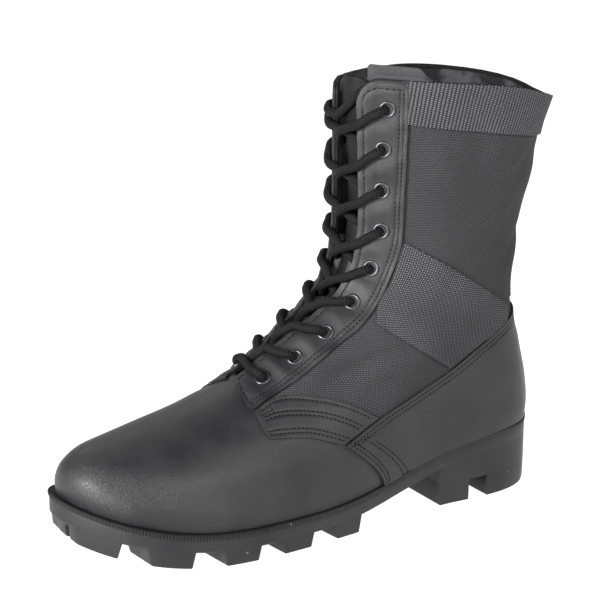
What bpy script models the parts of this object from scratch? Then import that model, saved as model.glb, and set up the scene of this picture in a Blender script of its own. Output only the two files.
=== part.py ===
"""Left jungle boot, outer side towards +Y, toe towards +X, standing on its sole at Z = 0."""

import math

import bmesh
import bpy
import numpy as np
from mathutils import Vector

# Driving sizes, in metres
BOOT_LENGTH = 0.306
BALL_WIDTH = 0.107
LEG_RISE = 0.2275          # from the sole's top to the collar's front
HEEL_HEIGHT = 0.039        # the sole's top above the ground, at the heel
BALL_HEIGHT = 0.018        # the same under the ball of the foot
TOE_HEIGHT = 0.038         # the same at the toe's tip
TOE_SPRING = 0.017         # the tread's lift at the toe's tip
TOE_SWING = 0.005          # the toe's lean towards the inner side
HEEL_SLOPE = (0.081, 0.552)    # where the sole's top falls from heel to ball, as shares of BOOT_LENGTH
TOE_SLOPE_START = 0.698        # where it rises to the toe
TOE_SPRING_START = 0.731       # where the tread leaves the ground
UPPER_WALL = 0.0020
OVERLAY_THICKNESS = 0.0015
WEBBING_THICKNESS = 0.0014
FIT_GAP = 0.0003
OVERLAY_GAP = 0.0005       # under an overlay, whose flat facets cross the upper's curve
SEAM_GAP = 0.0006          # between two overlays that lie side by side
THROAT_WIDTH = 0.023
TONGUE_DROP = 0.0092       # from the outer face of the upper to the tongue
TONGUE_THICKNESS = 0.0028
INSOLE_THICKNESS = 0.0030
INSOLE_PLAY = 0.0015       # between the insole's edge and the upper's inner face
WELT_WIDTH = 0.0025
WELT_THICKNESS = 0.0030
TOE_REACH = 1.8            # the sole's edge stands out this many times as far at the toe
SOLE_WALL_WIDTH = 0.0012   # how far the sole's wall stands out past the upper
SLAB_THICKNESS = 0.0100    # sole without its tread, at heel and waist
SLAB_THICKENING = 0.0040   # more of it towards the toe
SLAB_SLOPE = (0.81, 1.11)  # where it thickens, as shares of BOOT_LENGTH
SLAB_OVERLAP = 0.0030      # how far the tread reaches into the slab
HEEL_LENGTH = 0.081
HEEL_TREAD = 0.013         # depth of the notch across the heel
HEEL_NOTCH = (0.048, 0.0605)
LUG_DEPTH = 0.008
BAR_DEPTH = 0.0042
BAR_SETBACK = 0.0015       # a bar's rear and front stand back from its row's lugs
BAR_OVERLAP = 0.10         # it runs this share of the half width into them
LUG_INSET = 0.0006
LUG_TUCK = 0.12            # slope of a side lug's inner face
TREAD_SLANT = 0.125        # a row's ends lie further back than its middle, by this slope
TOE_SLANT = 0.060          # the same in the toe's row
BACKSTAY_WIDTH = 0.022
OVERLAY_FOOT = 0.0009      # an overlay's lower edge, above the welt
EYELET_RADIUS = 0.0044
EYELET_HOLE_RADIUS = 0.0024
EYELET_FLANGE = 0.0008
EYELET_LIFT = 0.0010       # an eyelet's flange above the true curve of the eyestay's face
EYELET_BARREL_WALL = 0.0006
LACE_DIAMETER = 0.0046
LACE_GAP = 0.0010          # between a lace's underside and an eyelet
LACE_LIFT = 0.0009         # at a crossing the outer side's strand lies higher
SIDE_REACH = 0.12          # outline cutters run this far to each side

# The upper's outer face, ring by ring from the feather edge to the collar.
# back, front: the ring's ends, as shares of BOOT_LENGTH.
# back_rise, front_rise: those ends' heights over the sole, as shares of LEG_RISE.
# heel to toe: half widths at RING_STATIONS, as shares of half of BALL_WIDTH.
RING_STATIONS = (0.06, 0.25, 0.50, 0.75, 0.92)
RINGS = (
    # back, back_rise, front, front_rise, heel, rear, waist, ball, toe
    (0.003, 0.000, 0.976, 0.000, 0.610, 0.740, 0.920, 0.990, 0.710),
    (0.000, 0.040, 0.975, 0.040, 0.610, 0.750, 0.935, 1.000, 0.720),
    (0.001, 0.079, 0.960, 0.083, 0.590, 0.750, 0.925, 0.955, 0.670),
    (0.006, 0.123, 0.918, 0.135, 0.570, 0.740, 0.905, 0.900, 0.620),
    (0.014, 0.167, 0.846, 0.187, 0.540, 0.720, 0.870, 0.810, 0.540),
    (0.023, 0.215, 0.757, 0.230, 0.515, 0.700, 0.820, 0.735, 0.470),
    (0.032, 0.259, 0.670, 0.271, 0.475, 0.680, 0.785, 0.680, 0.425),
    (0.037, 0.303, 0.595, 0.326, 0.450, 0.675, 0.765, 0.650, 0.390),
    (0.039, 0.347, 0.523, 0.395, 0.420, 0.675, 0.765, 0.655, 0.370),
    (0.037, 0.400, 0.461, 0.450, 0.410, 0.680, 0.775, 0.665, 0.365),
    (0.032, 0.461, 0.422, 0.519, 0.410, 0.700, 0.800, 0.680, 0.365),
    (0.028, 0.541, 0.407, 0.612, 0.420, 0.730, 0.825, 0.695, 0.365),
    (0.006, 0.664, 0.405, 0.744, 0.440, 0.775, 0.880, 0.720, 0.370),
    (-0.019, 0.765, 0.405, 0.885, 0.460, 0.815, 0.925, 0.740, 0.375),
    (-0.039, 0.835, 0.405, 1.000, 0.470, 0.830, 0.945, 0.755, 0.380),
)
COLLAR_LEVEL = len(RINGS) - 1
THROAT_LEVEL = 6.6
GRID_LEVELS = (0, 1, 2, 3, 4, 5, 5.8, THROAT_LEVEL, 7.3, 8, 9, 10, 11, 12, 13, COLLAR_LEVEL)
# The inner side's half widths against the outer side's, at RING_STATIONS on the feather edge
INNER_SHARES = (1.00, 0.94, 0.80, 1.02, 0.92)
COLUMNS_A_SIDE = 18
THROAT_STRIPS = 4

# Seams as seen from the side: (share of BOOT_LENGTH, share of LEG_RISE above the ball's height)
EYESTAY_REAR = (
    (0.328, 1.060), (0.332, 0.847), (0.336, 0.700), (0.339, 0.620), (0.361, 0.526),
    (0.394, 0.456), (0.464, 0.379), (0.545, 0.308), (0.641, 0.250),
)
EYESTAY_FRONT = (
    (0.648, 0.262), (0.646, 0.285), (0.638, 0.300), (0.650, 0.400), (0.560, 0.520),
    (0.500, 0.700), (0.500, 1.060),
)
BAND_LOWER = ((-0.150, 0.800), (0.000, 0.838), (0.151, 0.875), (0.340, 0.912))
COUNTER_TOP = (
    (-0.060, 0.420), (0.090, 0.370), (0.168, 0.326), (0.243, 0.279),
    (0.317, 0.245), (0.414, 0.203), (0.494, 0.154),
)
COUNTER_FRONT = ((0.462, 0.120), (0.434, 0.085), (0.413, 0.051), (0.398, 0.000))
SIDE_BAND_TOP = ((0.462, 0.239), (0.505, 0.261), (0.555, 0.276), (0.587, 0.278))
SIDE_BAND_FRONT = ((0.644, 0.221), (0.637, 0.196), (0.608, 0.193), (0.567, 0.188), (0.524, 0.170))
STRAP_UPPER_END = (0.095, 0.414)
STRAP_LOWER_START = (0.400, 0.425)
BACKSTAY_SPAN = (0.402, 0.822)

# Eyelets from the top down: (share of BOOT_LENGTH, share of LEG_RISE above the ball's height)
EYELETS = (
    (0.358, 0.945), (0.363, 0.847), (0.365, 0.746), (0.366, 0.645), (0.383, 0.551),
    (0.421, 0.470), (0.478, 0.403), (0.538, 0.349), (0.599, 0.306),
)

# Forefoot tread: rear and front of each row at the middle line, as shares of BOOT_LENGTH
TREAD_ROWS = ((0.484, 0.535), (0.594, 0.651), (0.704, 0.763), (0.823, 0.886))
TOE_ROW = (0.926, 0.968)
SIDE_LUG = (0.42, 1.0)     # a lug's inner and outer edge, as shares of the half width
TOE_CENTRE_LUG = 0.25
TOE_LUG_GAP = 0.08


def smooth_step(share):
    share = min(max(share, 0.0), 1.0)
    return share * share * (3 - 2 * share)


def smooth_row(positions, values, at):
    """A smooth curve through values at rising positions, level past its ends."""
    positions = np.asarray(positions, float)
    values = np.asarray(values, float)
    if at <= positions[0]:
        return values[0]
    if at >= positions[-1]:
        return values[-1]
    slopes = np.gradient(values, positions, axis=0)
    i = int(np.searchsorted(positions, at, side="right")) - 1
    width = positions[i + 1] - positions[i]
    u = (at - positions[i]) / width
    return (
        (2 * u**3 - 3 * u**2 + 1) * values[i]
        + (u**3 - 2 * u**2 + u) * width * slopes[i]
        + (3 * u**2 - 2 * u**3) * values[i + 1]
        + (u**3 - u**2) * width * slopes[i + 1]
    )


def sole_top(x):
    """Height of the sole's top, where foot and upper rest."""
    share = x / BOOT_LENGTH
    top, foot = HEEL_SLOPE
    heel = (HEEL_HEIGHT - BALL_HEIGHT) * smooth_step((foot - share) / (foot - top))
    toe = max(share - TOE_SLOPE_START, 0.0) / (1 - TOE_SLOPE_START)
    toe = (TOE_HEIGHT - BALL_HEIGHT) * toe**2
    return BALL_HEIGHT + heel + toe


def tread_level(x):
    """Height of the lugs' feet: flat to the ball, then the toe spring."""
    toe = max(x / BOOT_LENGTH - TOE_SPRING_START, 0.0) / (1 - TOE_SPRING_START)
    return TOE_SPRING * toe**2


def slab_bottom(x):
    """Height of the sole's underside between its lugs."""
    start, end = SLAB_SLOPE
    more = smooth_step((x / BOOT_LENGTH - start) / (end - start))
    return sole_top(x) - SLAB_THICKNESS - SLAB_THICKENING * more


def ring_row(level):
    return smooth_row(range(len(RINGS)), RINGS, level)


def half_width(row, share, side):
    """Half width of a ring at a share of its length: an oval's, times the table's fullness."""
    ovals = [2 * math.sqrt(s * (1 - s)) for s in RING_STATIONS]
    fullness = [width / oval for width, oval in zip(row[4:9], ovals)]
    value = smooth_row(RING_STATIONS, fullness, share)
    value *= 2 * math.sqrt(max(share * (1 - share), 0.0)) * BALL_WIDTH / 2
    if side < 0:
        fade = min(row[1] / 0.5, 1.0)
        inner = smooth_row(RING_STATIONS, INNER_SHARES, share)
        value *= inner + (1 - inner) * fade
    return value


def swing(row, share):
    """Sideways place of a ring's middle line."""
    return -TOE_SWING * smooth_step((share - 0.55) / 0.45) * (1 - min(row[1] / 0.25, 1.0))


def ring_point(level, angle, side):
    """A point of the upper's outer face; angle runs from 0 at the front to pi at the back."""
    row = ring_row(level)
    share = (1 + math.cos(angle)) / 2
    back, front = row[0] * BOOT_LENGTH, row[2] * BOOT_LENGTH
    x = back + (front - back) * share
    y = swing(row, share) + side * half_width(row, share, side)
    rise = (row[1] + (row[3] - row[1]) * share) * LEG_RISE
    return Vector((x, y, sole_top(x) + rise))


def throat_angle(level):
    """The angle at which a ring is half of THROAT_WIDTH from its middle line."""
    row = ring_row(level)
    low, high = 0.0, math.pi / 2
    for _ in range(40):
        middle = (low + high) / 2
        if half_width(row, (1 + math.cos(middle)) / 2, 1) < THROAT_WIDTH / 2:
            low = middle
        else:
            high = middle
    return high


def column_angles(level):
    """Signed angles of the grid's columns: throat strips in front, then each side to the back."""
    edge = throat_angle(level)
    half = THROAT_STRIPS // 2
    strip = [edge * i / half for i in range(half)]
    side = [edge + (math.pi - edge) * i / COLUMNS_A_SIDE for i in range(COLUMNS_A_SIDE + 1)]
    outer = strip + side
    inner = [-angle for angle in outer[1:-1]]
    return outer, inner


def body_point(level, signed_angle, offset=0.0):
    """A point at a distance outside the upper's outer face, along its normal."""
    side = 1 if signed_angle >= 0 else -1
    angle = abs(signed_angle)
    point = ring_point(level, angle, side)
    if not offset:
        return point
    step = 0.02
    ahead = signed_point(level, signed_angle - step)
    behind = signed_point(level, signed_angle + step)
    low = signed_point(max(level - 0.1, 0.0), signed_angle)
    high = signed_point(min(level + 0.1, COLLAR_LEVEL), signed_angle)
    normal = (behind - ahead).cross(high - low).normalized()
    return point + normal * offset


def signed_point(level, signed_angle):
    if signed_angle > math.pi:
        signed_angle -= 2 * math.pi
    if signed_angle < -math.pi:
        signed_angle += 2 * math.pi
    return ring_point(level, abs(signed_angle), 1 if signed_angle >= 0 else -1)


def mesh_object(name, points, faces, colour=None, hidden=False):
    mesh = bpy.data.meshes.new(name)
    mesh.from_pydata([tuple(p) for p in points], [], faces)
    work = bmesh.new()
    work.from_mesh(mesh)
    bmesh.ops.remove_doubles(work, verts=work.verts, dist=0.00001)
    bmesh.ops.recalc_face_normals(work, faces=work.faces)
    work.to_mesh(mesh)
    work.free()
    obj = bpy.data.objects.new(name, mesh)
    obj.parent = boot
    if hidden:
        obj.hide_render = True
        obj.display_type = "WIRE"
        cutters.objects.link(obj)
    else:
        parts.objects.link(obj)
        mesh.materials.append(colour)
    return obj


def material(name, colour, roughness, metallic=0.0):
    made = bpy.data.materials.new(name)
    made.use_nodes = True
    surface = made.node_tree.nodes["Principled BSDF"]
    surface.inputs["Base Color"].default_value = (*colour, 1)
    surface.inputs["Roughness"].default_value = roughness
    surface.inputs["Metallic"].default_value = metallic
    return made


def boolean(obj, cutter, operation, own_overlaps=False):
    cut = obj.modifiers.new(operation.lower(), "BOOLEAN")
    cut.operation = operation
    cut.object = cutter
    cut.use_self = own_overlaps


def body_sheet(offset, levels=GRID_LEVELS, throat=True, reach=None):
    """Points and faces of the open sheet at a distance from the upper's outer face.

    With throat, the strips in front are left out above THROAT_LEVEL; reach keeps only that many
    columns on each side of the front.
    """
    rows = []
    for level in levels:
        outer, inner = column_angles(level)
        if reach is None:
            rows.append([body_point(level, a, offset) for a in outer + inner[::-1]])
        else:
            angles = [-a for a in outer[reach:0:-1]] + outer[: reach + 1]
            rows.append([body_point(level, a, offset) for a in angles])
    columns = len(rows[0])
    foot = OVERLAY_FOOT if offset > 0 else FIT_GAP
    for point in rows[0]:
        point.z = max(point.z, sole_top(point.x) + foot)
    points = [p for row in rows for p in row]
    faces = []
    closed = reach is None
    half = THROAT_STRIPS // 2
    for i in range(len(rows) - 1):
        for j in range(columns if closed else columns - 1):
            k = (j + 1) % columns
            in_throat = closed and (j < half or j >= columns - half)
            if throat and in_throat and levels[i] >= THROAT_LEVEL:
                continue
            a, b = i * columns, (i + 1) * columns
            faces.append((a + j, a + k, b + k, b + j))
    used = sorted({v for face in faces for v in face})
    place = {v: n for n, v in enumerate(used)}
    return [points[v] for v in used], [tuple(place[v] for v in face) for face in faces]


def facing_out(obj):
    """Turns an open sheet's faces away from the leg's middle."""
    mesh = obj.data
    middle = Vector((BOOT_LENGTH / 3, 0, 0))
    score = sum((f.center - middle).to_2d().dot(f.normal.to_2d()) * f.area for f in mesh.polygons)
    if score < 0:
        mesh.flip_normals()


def shell(name, offset, thickness, colour, hidden=False, **options):
    """A wall on the body's own grid: from offset outwards, or inwards for a negative thickness."""
    points, faces = body_sheet(offset, **options)
    obj = mesh_object(name, points, faces, colour, hidden)
    facing_out(obj)
    wall = obj.modifiers.new("wall", "SOLIDIFY")
    wall.thickness = abs(thickness)
    wall.offset = 1.0 if thickness > 0 else -1.0
    return obj


def seam(line):
    """A seam line's points in metres, as seen from the side."""
    return [(x * BOOT_LENGTH, BALL_HEIGHT + z * LEG_RISE) for x, z in line]


def moved(line, distance):
    """A line moved sideways: to its left, looking along it, for a positive distance."""
    points = np.asarray(line, float)
    along = np.gradient(points, axis=0)
    along /= np.linalg.norm(along, axis=1)[:, None]
    left = np.stack([-along[:, 1], along[:, 0]], axis=1)
    return [tuple(p) for p in points + left * distance]


def side_prism(name, outline, low, high):
    """A closed outline in the XZ plane, run from low to high along Y."""
    count = len(outline)
    points = [(x, low, z) for x, z in outline] + [(x, high, z) for x, z in outline]
    faces = [tuple(range(count)), tuple(range(2 * count - 1, count - 1, -1))]
    faces += [(i, (i + 1) % count, count + (i + 1) % count, count + i) for i in range(count)]
    return mesh_object(name, points, faces, hidden=True)


def overlay(name, outline, thickness, colour, side=0):
    """A piece of the form just outside the upper, cut to an outline; side 0 keeps both sides."""
    piece = shell(name, OVERLAY_GAP, thickness, colour)
    low = 0.002 if side > 0 else -SIDE_REACH
    high = -0.002 if side < 0 else SIDE_REACH
    boolean(piece, side_prism(name + " outline", outline, low, high), "INTERSECT")
    return piece


def plan_point(angle, side, outset):
    """The feather edge seen from above, moved outwards by outset."""
    row = ring_row(0)
    share = (1 + math.cos(angle)) / 2
    back = row[0] * BOOT_LENGTH - outset
    front = row[2] * BOOT_LENGTH + outset * TOE_REACH
    grown = 1 + outset / (BALL_WIDTH / 2)
    x = back + (front - back) * share
    return x, swing(row, share) + side * half_width(row, share, side) * grown


def edge_y(x, side, outset):
    """Sideways place of the plan outline at a distance along the boot."""
    row = ring_row(0)
    back = row[0] * BOOT_LENGTH - outset
    front = row[2] * BOOT_LENGTH + outset * TOE_REACH
    share = min(max((x - back) / (front - back), 0.0), 1.0)
    angle = math.acos(2 * share - 1)
    return plan_point(angle, side, outset)[1]


def plate(name, layers, colour):
    """A closed plate of the foot's plan; layers are (outset, height function) from the top down."""
    outer, inner = column_angles(0)
    angles = outer + inner[::-1]
    count = len(angles)
    points = []
    for outset, height in layers:
        for angle in angles:
            x, y = plan_point(abs(angle), 1 if angle >= 0 else -1, outset)
            points.append((x, y, height(x)))
    faces = []
    for layer in range(len(layers) - 1):
        a, b = layer * count, (layer + 1) * count
        faces += [(a + j, b + j, b + (j + 1) % count, a + (j + 1) % count) for j in range(count)]
    for start in (0, (len(layers) - 1) * count):
        half = count // 2
        faces.append((start, start + 1, start + count - 1))
        for j in range(1, half - 1):
            faces.append((start + j, start + j + 1, start + count - j - 1, start + count - j))
        faces.append((start + half - 1, start + half, start + half + 1))
    return mesh_object(name, points, faces, colour)


def tread_block(points, faces, rear, front, shares, low, high, slant=TREAD_SLANT, tuck=0.0, steps=3,
                crowding=1.0):
    """Adds one block under the sole.

    shares are the block's edges across the sole, from -1 at the inner edge to 1 at the outer
    edge; tuck draws the inner edge of a side block's foot outwards, as a slanted face; crowding
    above 1 draws the steps together at the rear, where the heel is round.
    """
    start = len(points)
    across = 3
    for z_of, is_foot in ((low, True), (high, False)):
        for i in range(steps + 1):
            for j in range(across + 1):
                share = shares[0] + (shares[1] - shares[0]) * j / across
                if is_foot and abs(share) < max(abs(shares[0]), abs(shares[1])):
                    share += math.copysign(tuck * (1 - abs(share)), share)
                x = rear + (front - rear) * (i / steps) ** crowding
                side = 1 if share >= 0 else -1
                outset = SOLE_WALL_WIDTH - LUG_INSET * (1.6 if is_foot else 1.0)
                x_edge = x - slant * edge_y(x, side, outset) * abs(share)
                y = abs(share) * edge_y(x_edge, side, outset)
                points.append((x_edge, y, z_of(x_edge)))
    wide = across + 1
    top = start + (steps + 1) * wide
    for i in range(steps):
        for j in range(across):
            a = start + i * wide + j
            b = top + i * wide + j
            faces.append((a, a + 1, a + wide + 1, a + wide))
            faces.append((b, b + wide, b + wide + 1, b + 1))
    for i in range(steps):
        for j, turn in ((0, 1), (across, -1)):
            a, c = start + i * wide + j, top + i * wide + j
            faces.append((a, a + wide, c + wide, c)[::turn])
    for j in range(across):
        for i, turn in ((0, -1), (steps, 1)):
            a, c = start + i * wide + j, top + i * wide + j
            faces.append((a, a + 1, c + 1, c)[::turn])


def tread(name):
    """All lugs, bars and heel blocks, as one cutter whose bodies overlap."""
    points, faces = [], []

    def into_slab(x):
        return slab_bottom(x) + SLAB_OVERLAP

    def bar_low(x):
        return tread_level(x) + LUG_DEPTH - BAR_DEPTH

    def bar_top(x):
        return into_slab(x) + BAR_SETBACK

    for rear, front in TREAD_ROWS:
        rear, front = rear * BOOT_LENGTH, front * BOOT_LENGTH
        for side in (1, -1):
            shares = (side * SIDE_LUG[0], side * SIDE_LUG[1])
            tread_block(points, faces, rear, front, shares, tread_level, into_slab, tuck=LUG_TUCK)
        middle = (-SIDE_LUG[0] - BAR_OVERLAP, SIDE_LUG[0] + BAR_OVERLAP)
        tread_block(points, faces, rear + BAR_SETBACK, front - BAR_SETBACK, middle, bar_low, bar_top)
    rear, front = (share * BOOT_LENGTH for share in TOE_ROW)
    side_lug = TOE_CENTRE_LUG + TOE_LUG_GAP
    for shares in ((side_lug, 1.0), (-TOE_CENTRE_LUG, TOE_CENTRE_LUG), (-side_lug, -1.0)):
        tread_block(points, faces, rear, front, shares, tread_level, into_slab, slant=TOE_SLANT)

    def ground(x):
        return 0.0

    rear = RINGS[0][0] * BOOT_LENGTH - SOLE_WALL_WIDTH + 2 * LUG_INSET
    tread_block(points, faces, rear, HEEL_LENGTH, (-1.0, 1.0), ground, into_slab, slant=0, steps=9,
                crowding=1.8)
    return mesh_object(name, points, faces, hidden=True)


def outsole():
    wall = SOLE_WALL_WIDTH
    layers = (
        (WELT_WIDTH, sole_top),
        (WELT_WIDTH, lambda x: sole_top(x) - WELT_THICKNESS),
        (wall, lambda x: sole_top(x) - WELT_THICKNESS * 1.15),
        (wall, slab_bottom),
    )
    sole = plate("outsole", layers, rubber)
    boolean(sole, tread("tread blocks"), "UNION", own_overlaps=True)
    rear, front = HEEL_NOTCH
    notch = [(rear, -HEEL_TREAD), (front, -HEEL_TREAD), (front, HEEL_TREAD), (rear, HEEL_TREAD)]
    boolean(sole, side_prism("heel notch", notch, -SIDE_REACH, SIDE_REACH), "DIFFERENCE")


def insole():
    inset = -(UPPER_WALL + INSOLE_PLAY)
    plate("insole", (
        (inset, lambda x: sole_top(x) + FIT_GAP + INSOLE_THICKNESS),
        (inset, lambda x: sole_top(x) + FIT_GAP),
    ), lining)


def upper():
    shell("upper", 0.0, -UPPER_WALL, leather)


def tongue():
    levels = (5.8, THROAT_LEVEL, 7.3, 8, 9, 10, 11, 12, 13, COLLAR_LEVEL)
    shell("tongue", -TONGUE_DROP, -TONGUE_THICKNESS, lining, levels=levels, throat=False,
          reach=THROAT_STRIPS // 2 + 3)


def overlays():
    rear = seam(EYESTAY_REAR)
    behind = moved(rear, -SEAM_GAP)
    above_counter = moved(seam(COUNTER_TOP), SEAM_GAP)
    strap = [behind[3]] + seam([STRAP_UPPER_END]) + above_counter[1:4]
    strap += seam([STRAP_LOWER_START]) + behind[5:3:-1]
    band = above_counter[:4:-1] + seam(SIDE_BAND_TOP) + [behind[-1]] + seam(SIDE_BAND_FRONT)
    for side, word in ((1, "outer"), (-1, "inner")):
        stay = overlay("eyestay_" + word, rear + seam(EYESTAY_FRONT), OVERLAY_THICKNESS, leather, side)
        boolean(stay, eyelet_tools(side, word), "DIFFERENCE")
        overlay("ankle_strap_" + word, strap, WEBBING_THICKNESS, webbing, side)
        overlay("side_band_" + word, band, OVERLAY_THICKNESS, leather, side)
    floor = (-0.060 * BOOT_LENGTH, 0.0)
    overlay("counter", seam(COUNTER_TOP) + seam(COUNTER_FRONT) + [floor], OVERLAY_THICKNESS, leather)
    band = seam(BAND_LOWER)
    top = 1.3 * LEG_RISE
    edge = EYESTAY_REAR[0][0] * BOOT_LENGTH - SEAM_GAP
    outline = band[:-1] + [(edge, band[-1][1]), (edge, top), (band[0][0], top)]
    overlay("collar_band", outline, WEBBING_THICKNESS, webbing)
    backstay()


def backstay():
    """The webbing strip up the back, between the counter and the collar band."""
    strip = shell("backstay", OVERLAY_GAP, WEBBING_THICKNESS * 1.3, webbing)
    low, high = (BALL_HEIGHT + share * LEG_RISE for share in BACKSTAY_SPAN)
    half = BACKSTAY_WIDTH / 2
    bpy.ops.mesh.primitive_cube_add(size=1, location=(0, 0, (low + high) / 2))
    box = bpy.context.object
    box.name = "backstay outline"
    box.scale = (0.12, 2 * half, high - low)
    bpy.ops.object.transform_apply(location=True, rotation=False, scale=True)
    for collection in box.users_collection:
        collection.objects.unlink(box)
    cutters.objects.link(box)
    box.parent = boot
    box.hide_render = True
    box.display_type = "WIRE"
    boolean(strip, box, "INTERSECT")


def eyelet_seat(number, side):
    """Place and outward direction of an eyelet on the upper's outer face."""
    x, z = seam([EYELETS[number]])[0]
    best = None
    for level in np.arange(THROAT_LEVEL, COLLAR_LEVEL, 0.02):
        row = ring_row(level)
        back, front = row[0] * BOOT_LENGTH, row[2] * BOOT_LENGTH
        share = (x - back) / (front - back)
        if not 0 < share < 1:
            continue
        angle = math.acos(2 * share - 1)
        miss = abs(ring_point(level, angle, side).z - z)
        if best is None or miss < best[0]:
            best = (miss, level, angle)
    _, level, angle = best
    seat = body_point(level, side * angle)
    out = (body_point(level, side * angle, 0.001) - seat).normalized()
    return seat, out, level, angle


def turned(name, profile, seat, out, colour=None, hidden=False, segments=8):
    """A ring turned about its seat's normal; profile is (radius, height) round its section."""
    turn = out.to_track_quat("Z", "Y")
    points, faces = [], []
    count = len(profile)
    for i in range(segments):
        a = 2 * math.pi * i / segments
        for radius, height in profile:
            points.append(seat + turn @ Vector((radius * math.cos(a), radius * math.sin(a), height)))
    for i in range(segments):
        a, b = i * count, (i + 1) % segments * count
        faces += [(a + j, b + j, b + (j + 1) % count, a + (j + 1) % count) for j in range(count)]
    return mesh_object(name, points, faces, colour, hidden)


def eyelet_tools(side, word):
    """Cylinders that cut the eyelets' holes through an eyestay."""
    points, faces = [], []
    radius = EYELET_HOLE_RADIUS + EYELET_BARREL_WALL + FIT_GAP
    for number in range(len(EYELETS)):
        seat, out, _, _ = eyelet_seat(number, side)
        turn = out.to_track_quat("Z", "Y")
        start = len(points)
        segments = 8
        for height in (-0.003, 0.006):
            for i in range(segments):
                a = 2 * math.pi * i / segments
                points.append(seat + turn @ Vector((radius * math.cos(a), radius * math.sin(a), height)))
        faces.append(tuple(range(start, start + segments)))
        faces.append(tuple(range(start + 2 * segments - 1, start + segments - 1, -1)))
        for i in range(segments):
            j = (i + 1) % segments
            faces.append((start + i, start + j, start + segments + j, start + segments + i))
    return mesh_object("eyelet holes " + word, points, faces, hidden=True)


def eyelets():
    hole, barrel = EYELET_HOLE_RADIUS, EYELET_HOLE_RADIUS + EYELET_BARREL_WALL
    foot = OVERLAY_GAP + EYELET_LIFT
    top = OVERLAY_GAP + OVERLAY_THICKNESS + EYELET_LIFT
    profile = ((hole, foot), (barrel, foot), (barrel, top), (EYELET_RADIUS, top),
               (EYELET_RADIUS, top + EYELET_FLANGE * 0.4), (EYELET_RADIUS * 0.8, top + EYELET_FLANGE),
               (hole, top + EYELET_FLANGE * 0.6))
    for side, word in ((1, "outer"), (-1, "inner")):
        for number in range(len(EYELETS)):
            seat, out, _, _ = eyelet_seat(number, side)
            turned("eyelet_%s_%d" % (word, number + 1), profile, seat, out, metal)


def tube(name, route, colour, hidden=False):
    """A round lace along a smooth curve through its route's points."""
    samples = []
    positions = list(range(len(route)))
    for i in range(2 * (len(route) - 1) + 1):
        samples.append(smooth_row(positions, [tuple(p) for p in route], i / 2))
    curve = bpy.data.curves.new(name, "CURVE")
    curve.dimensions = "3D"
    curve.bevel_depth = LACE_DIAMETER / 2
    curve.bevel_resolution = 1
    curve.use_fill_caps = True
    line = curve.splines.new("POLY")
    line.points.add(len(samples) - 1)
    for point, sample in zip(line.points, samples):
        point.co = (*sample, 1)
    guide = bpy.data.objects.new(name + " route", curve)
    cutters.objects.link(guide)
    bpy.context.view_layer.update()
    mesh = bpy.data.meshes.new_from_object(guide.evaluated_get(bpy.context.evaluated_depsgraph_get()))
    bpy.data.objects.remove(guide)
    work = bmesh.new()
    work.from_mesh(mesh)
    bmesh.ops.remove_doubles(work, verts=work.verts, dist=0.00005)
    bmesh.ops.recalc_face_normals(work, faces=work.faces)
    work.to_mesh(mesh)
    work.free()
    mesh.name = name
    mesh.materials.clear()
    obj = bpy.data.objects.new(name, mesh)
    obj.parent = boot
    if hidden:
        obj.hide_render = True
        obj.display_type = "WIRE"
        cutters.objects.link(obj)
    else:
        mesh.materials.append(colour)
        parts.objects.link(obj)
    return obj


def strand_route(number, side, bar=False):
    """From an eyelet's outside over the throat, then under the other edge to the next eyelet."""
    _, _, level, angle = eyelet_seat(number, side)
    following = number if bar else number + 1
    _, _, low_level, low_angle = eyelet_seat(following, -side)
    radius = LACE_DIAMETER / 2
    over = OVERLAY_GAP + OVERLAY_THICKNESS + EYELET_LIFT + EYELET_FLANGE + LACE_GAP + radius
    under = over if bar else -(UPPER_WALL + FIT_GAP * 2 + radius)
    edge, low_edge = throat_angle(level), throat_angle(low_level)
    steps = (
        (0.0, angle, over), (0.16, (angle + edge) / 2, over), (0.33, edge * 0.9, over - 0.001),
        (0.5, 0.0, over - 0.001 if bar else LACE_LIFT * (1.5 + side) - LACE_LIFT),
        (0.67, -low_edge * 0.75, under), (0.84, -(low_angle + low_edge) / 2, under),
        (1.0, -low_angle, under),
    )
    route = []
    for share, turn, offset in steps:
        at = level + (low_level - level) * share
        route.append(body_point(at, side * turn, offset))
    return route


def laces():
    lowest = len(EYELETS) - 1
    tube("lace_bar", strand_route(lowest, 1, bar=True), cord)
    for number in range(lowest):
        name = "lace_cross_%d" % (number + 1)
        strand = tube(name, strand_route(number, 1), cord)
        other = tube(name + " other strand", strand_route(number, -1), cord, hidden=True)
        boolean(strand, other, "UNION")


def stand_on_origin():
    """Moves the boot so that the middle of its box, at the ground, is the origin."""
    bpy.context.view_layer.update()
    graph = bpy.context.evaluated_depsgraph_get()
    corners = []
    for obj in parts.objects:
        if obj.type != "MESH":
            continue
        mesh = obj.evaluated_get(graph).to_mesh()
        spots = np.empty(len(mesh.vertices) * 3)
        mesh.vertices.foreach_get("co", spots)
        spots = spots.reshape(-1, 3)
        corners += [spots.min(axis=0), spots.max(axis=0)]
    low, high = np.min(corners, axis=0), np.max(corners, axis=0)
    boot.location = (-(low[0] + high[0]) / 2, -(low[1] + high[1]) / 2, 0)


for old in list(bpy.data.objects):
    bpy.data.objects.remove(old)
parts = bpy.data.collections.new("jungle boot")
cutters = bpy.data.collections.new("cutters")
bpy.context.scene.collection.children.link(parts)
bpy.context.scene.collection.children.link(cutters)
boot = bpy.data.objects.new("boot", None)
parts.objects.link(boot)
leather = material("black leather", (0.020, 0.020, 0.021), 0.42)
webbing = material("grey webbing", (0.075, 0.077, 0.080), 0.85)
lining = material("dark cloth", (0.045, 0.046, 0.048), 0.90)
rubber = material("black rubber", (0.028, 0.028, 0.029), 0.60)
metal = material("blackened brass", (0.030, 0.030, 0.032), 0.35, 0.8)
cord = material("black cord", (0.015, 0.015, 0.016), 0.75)

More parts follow.
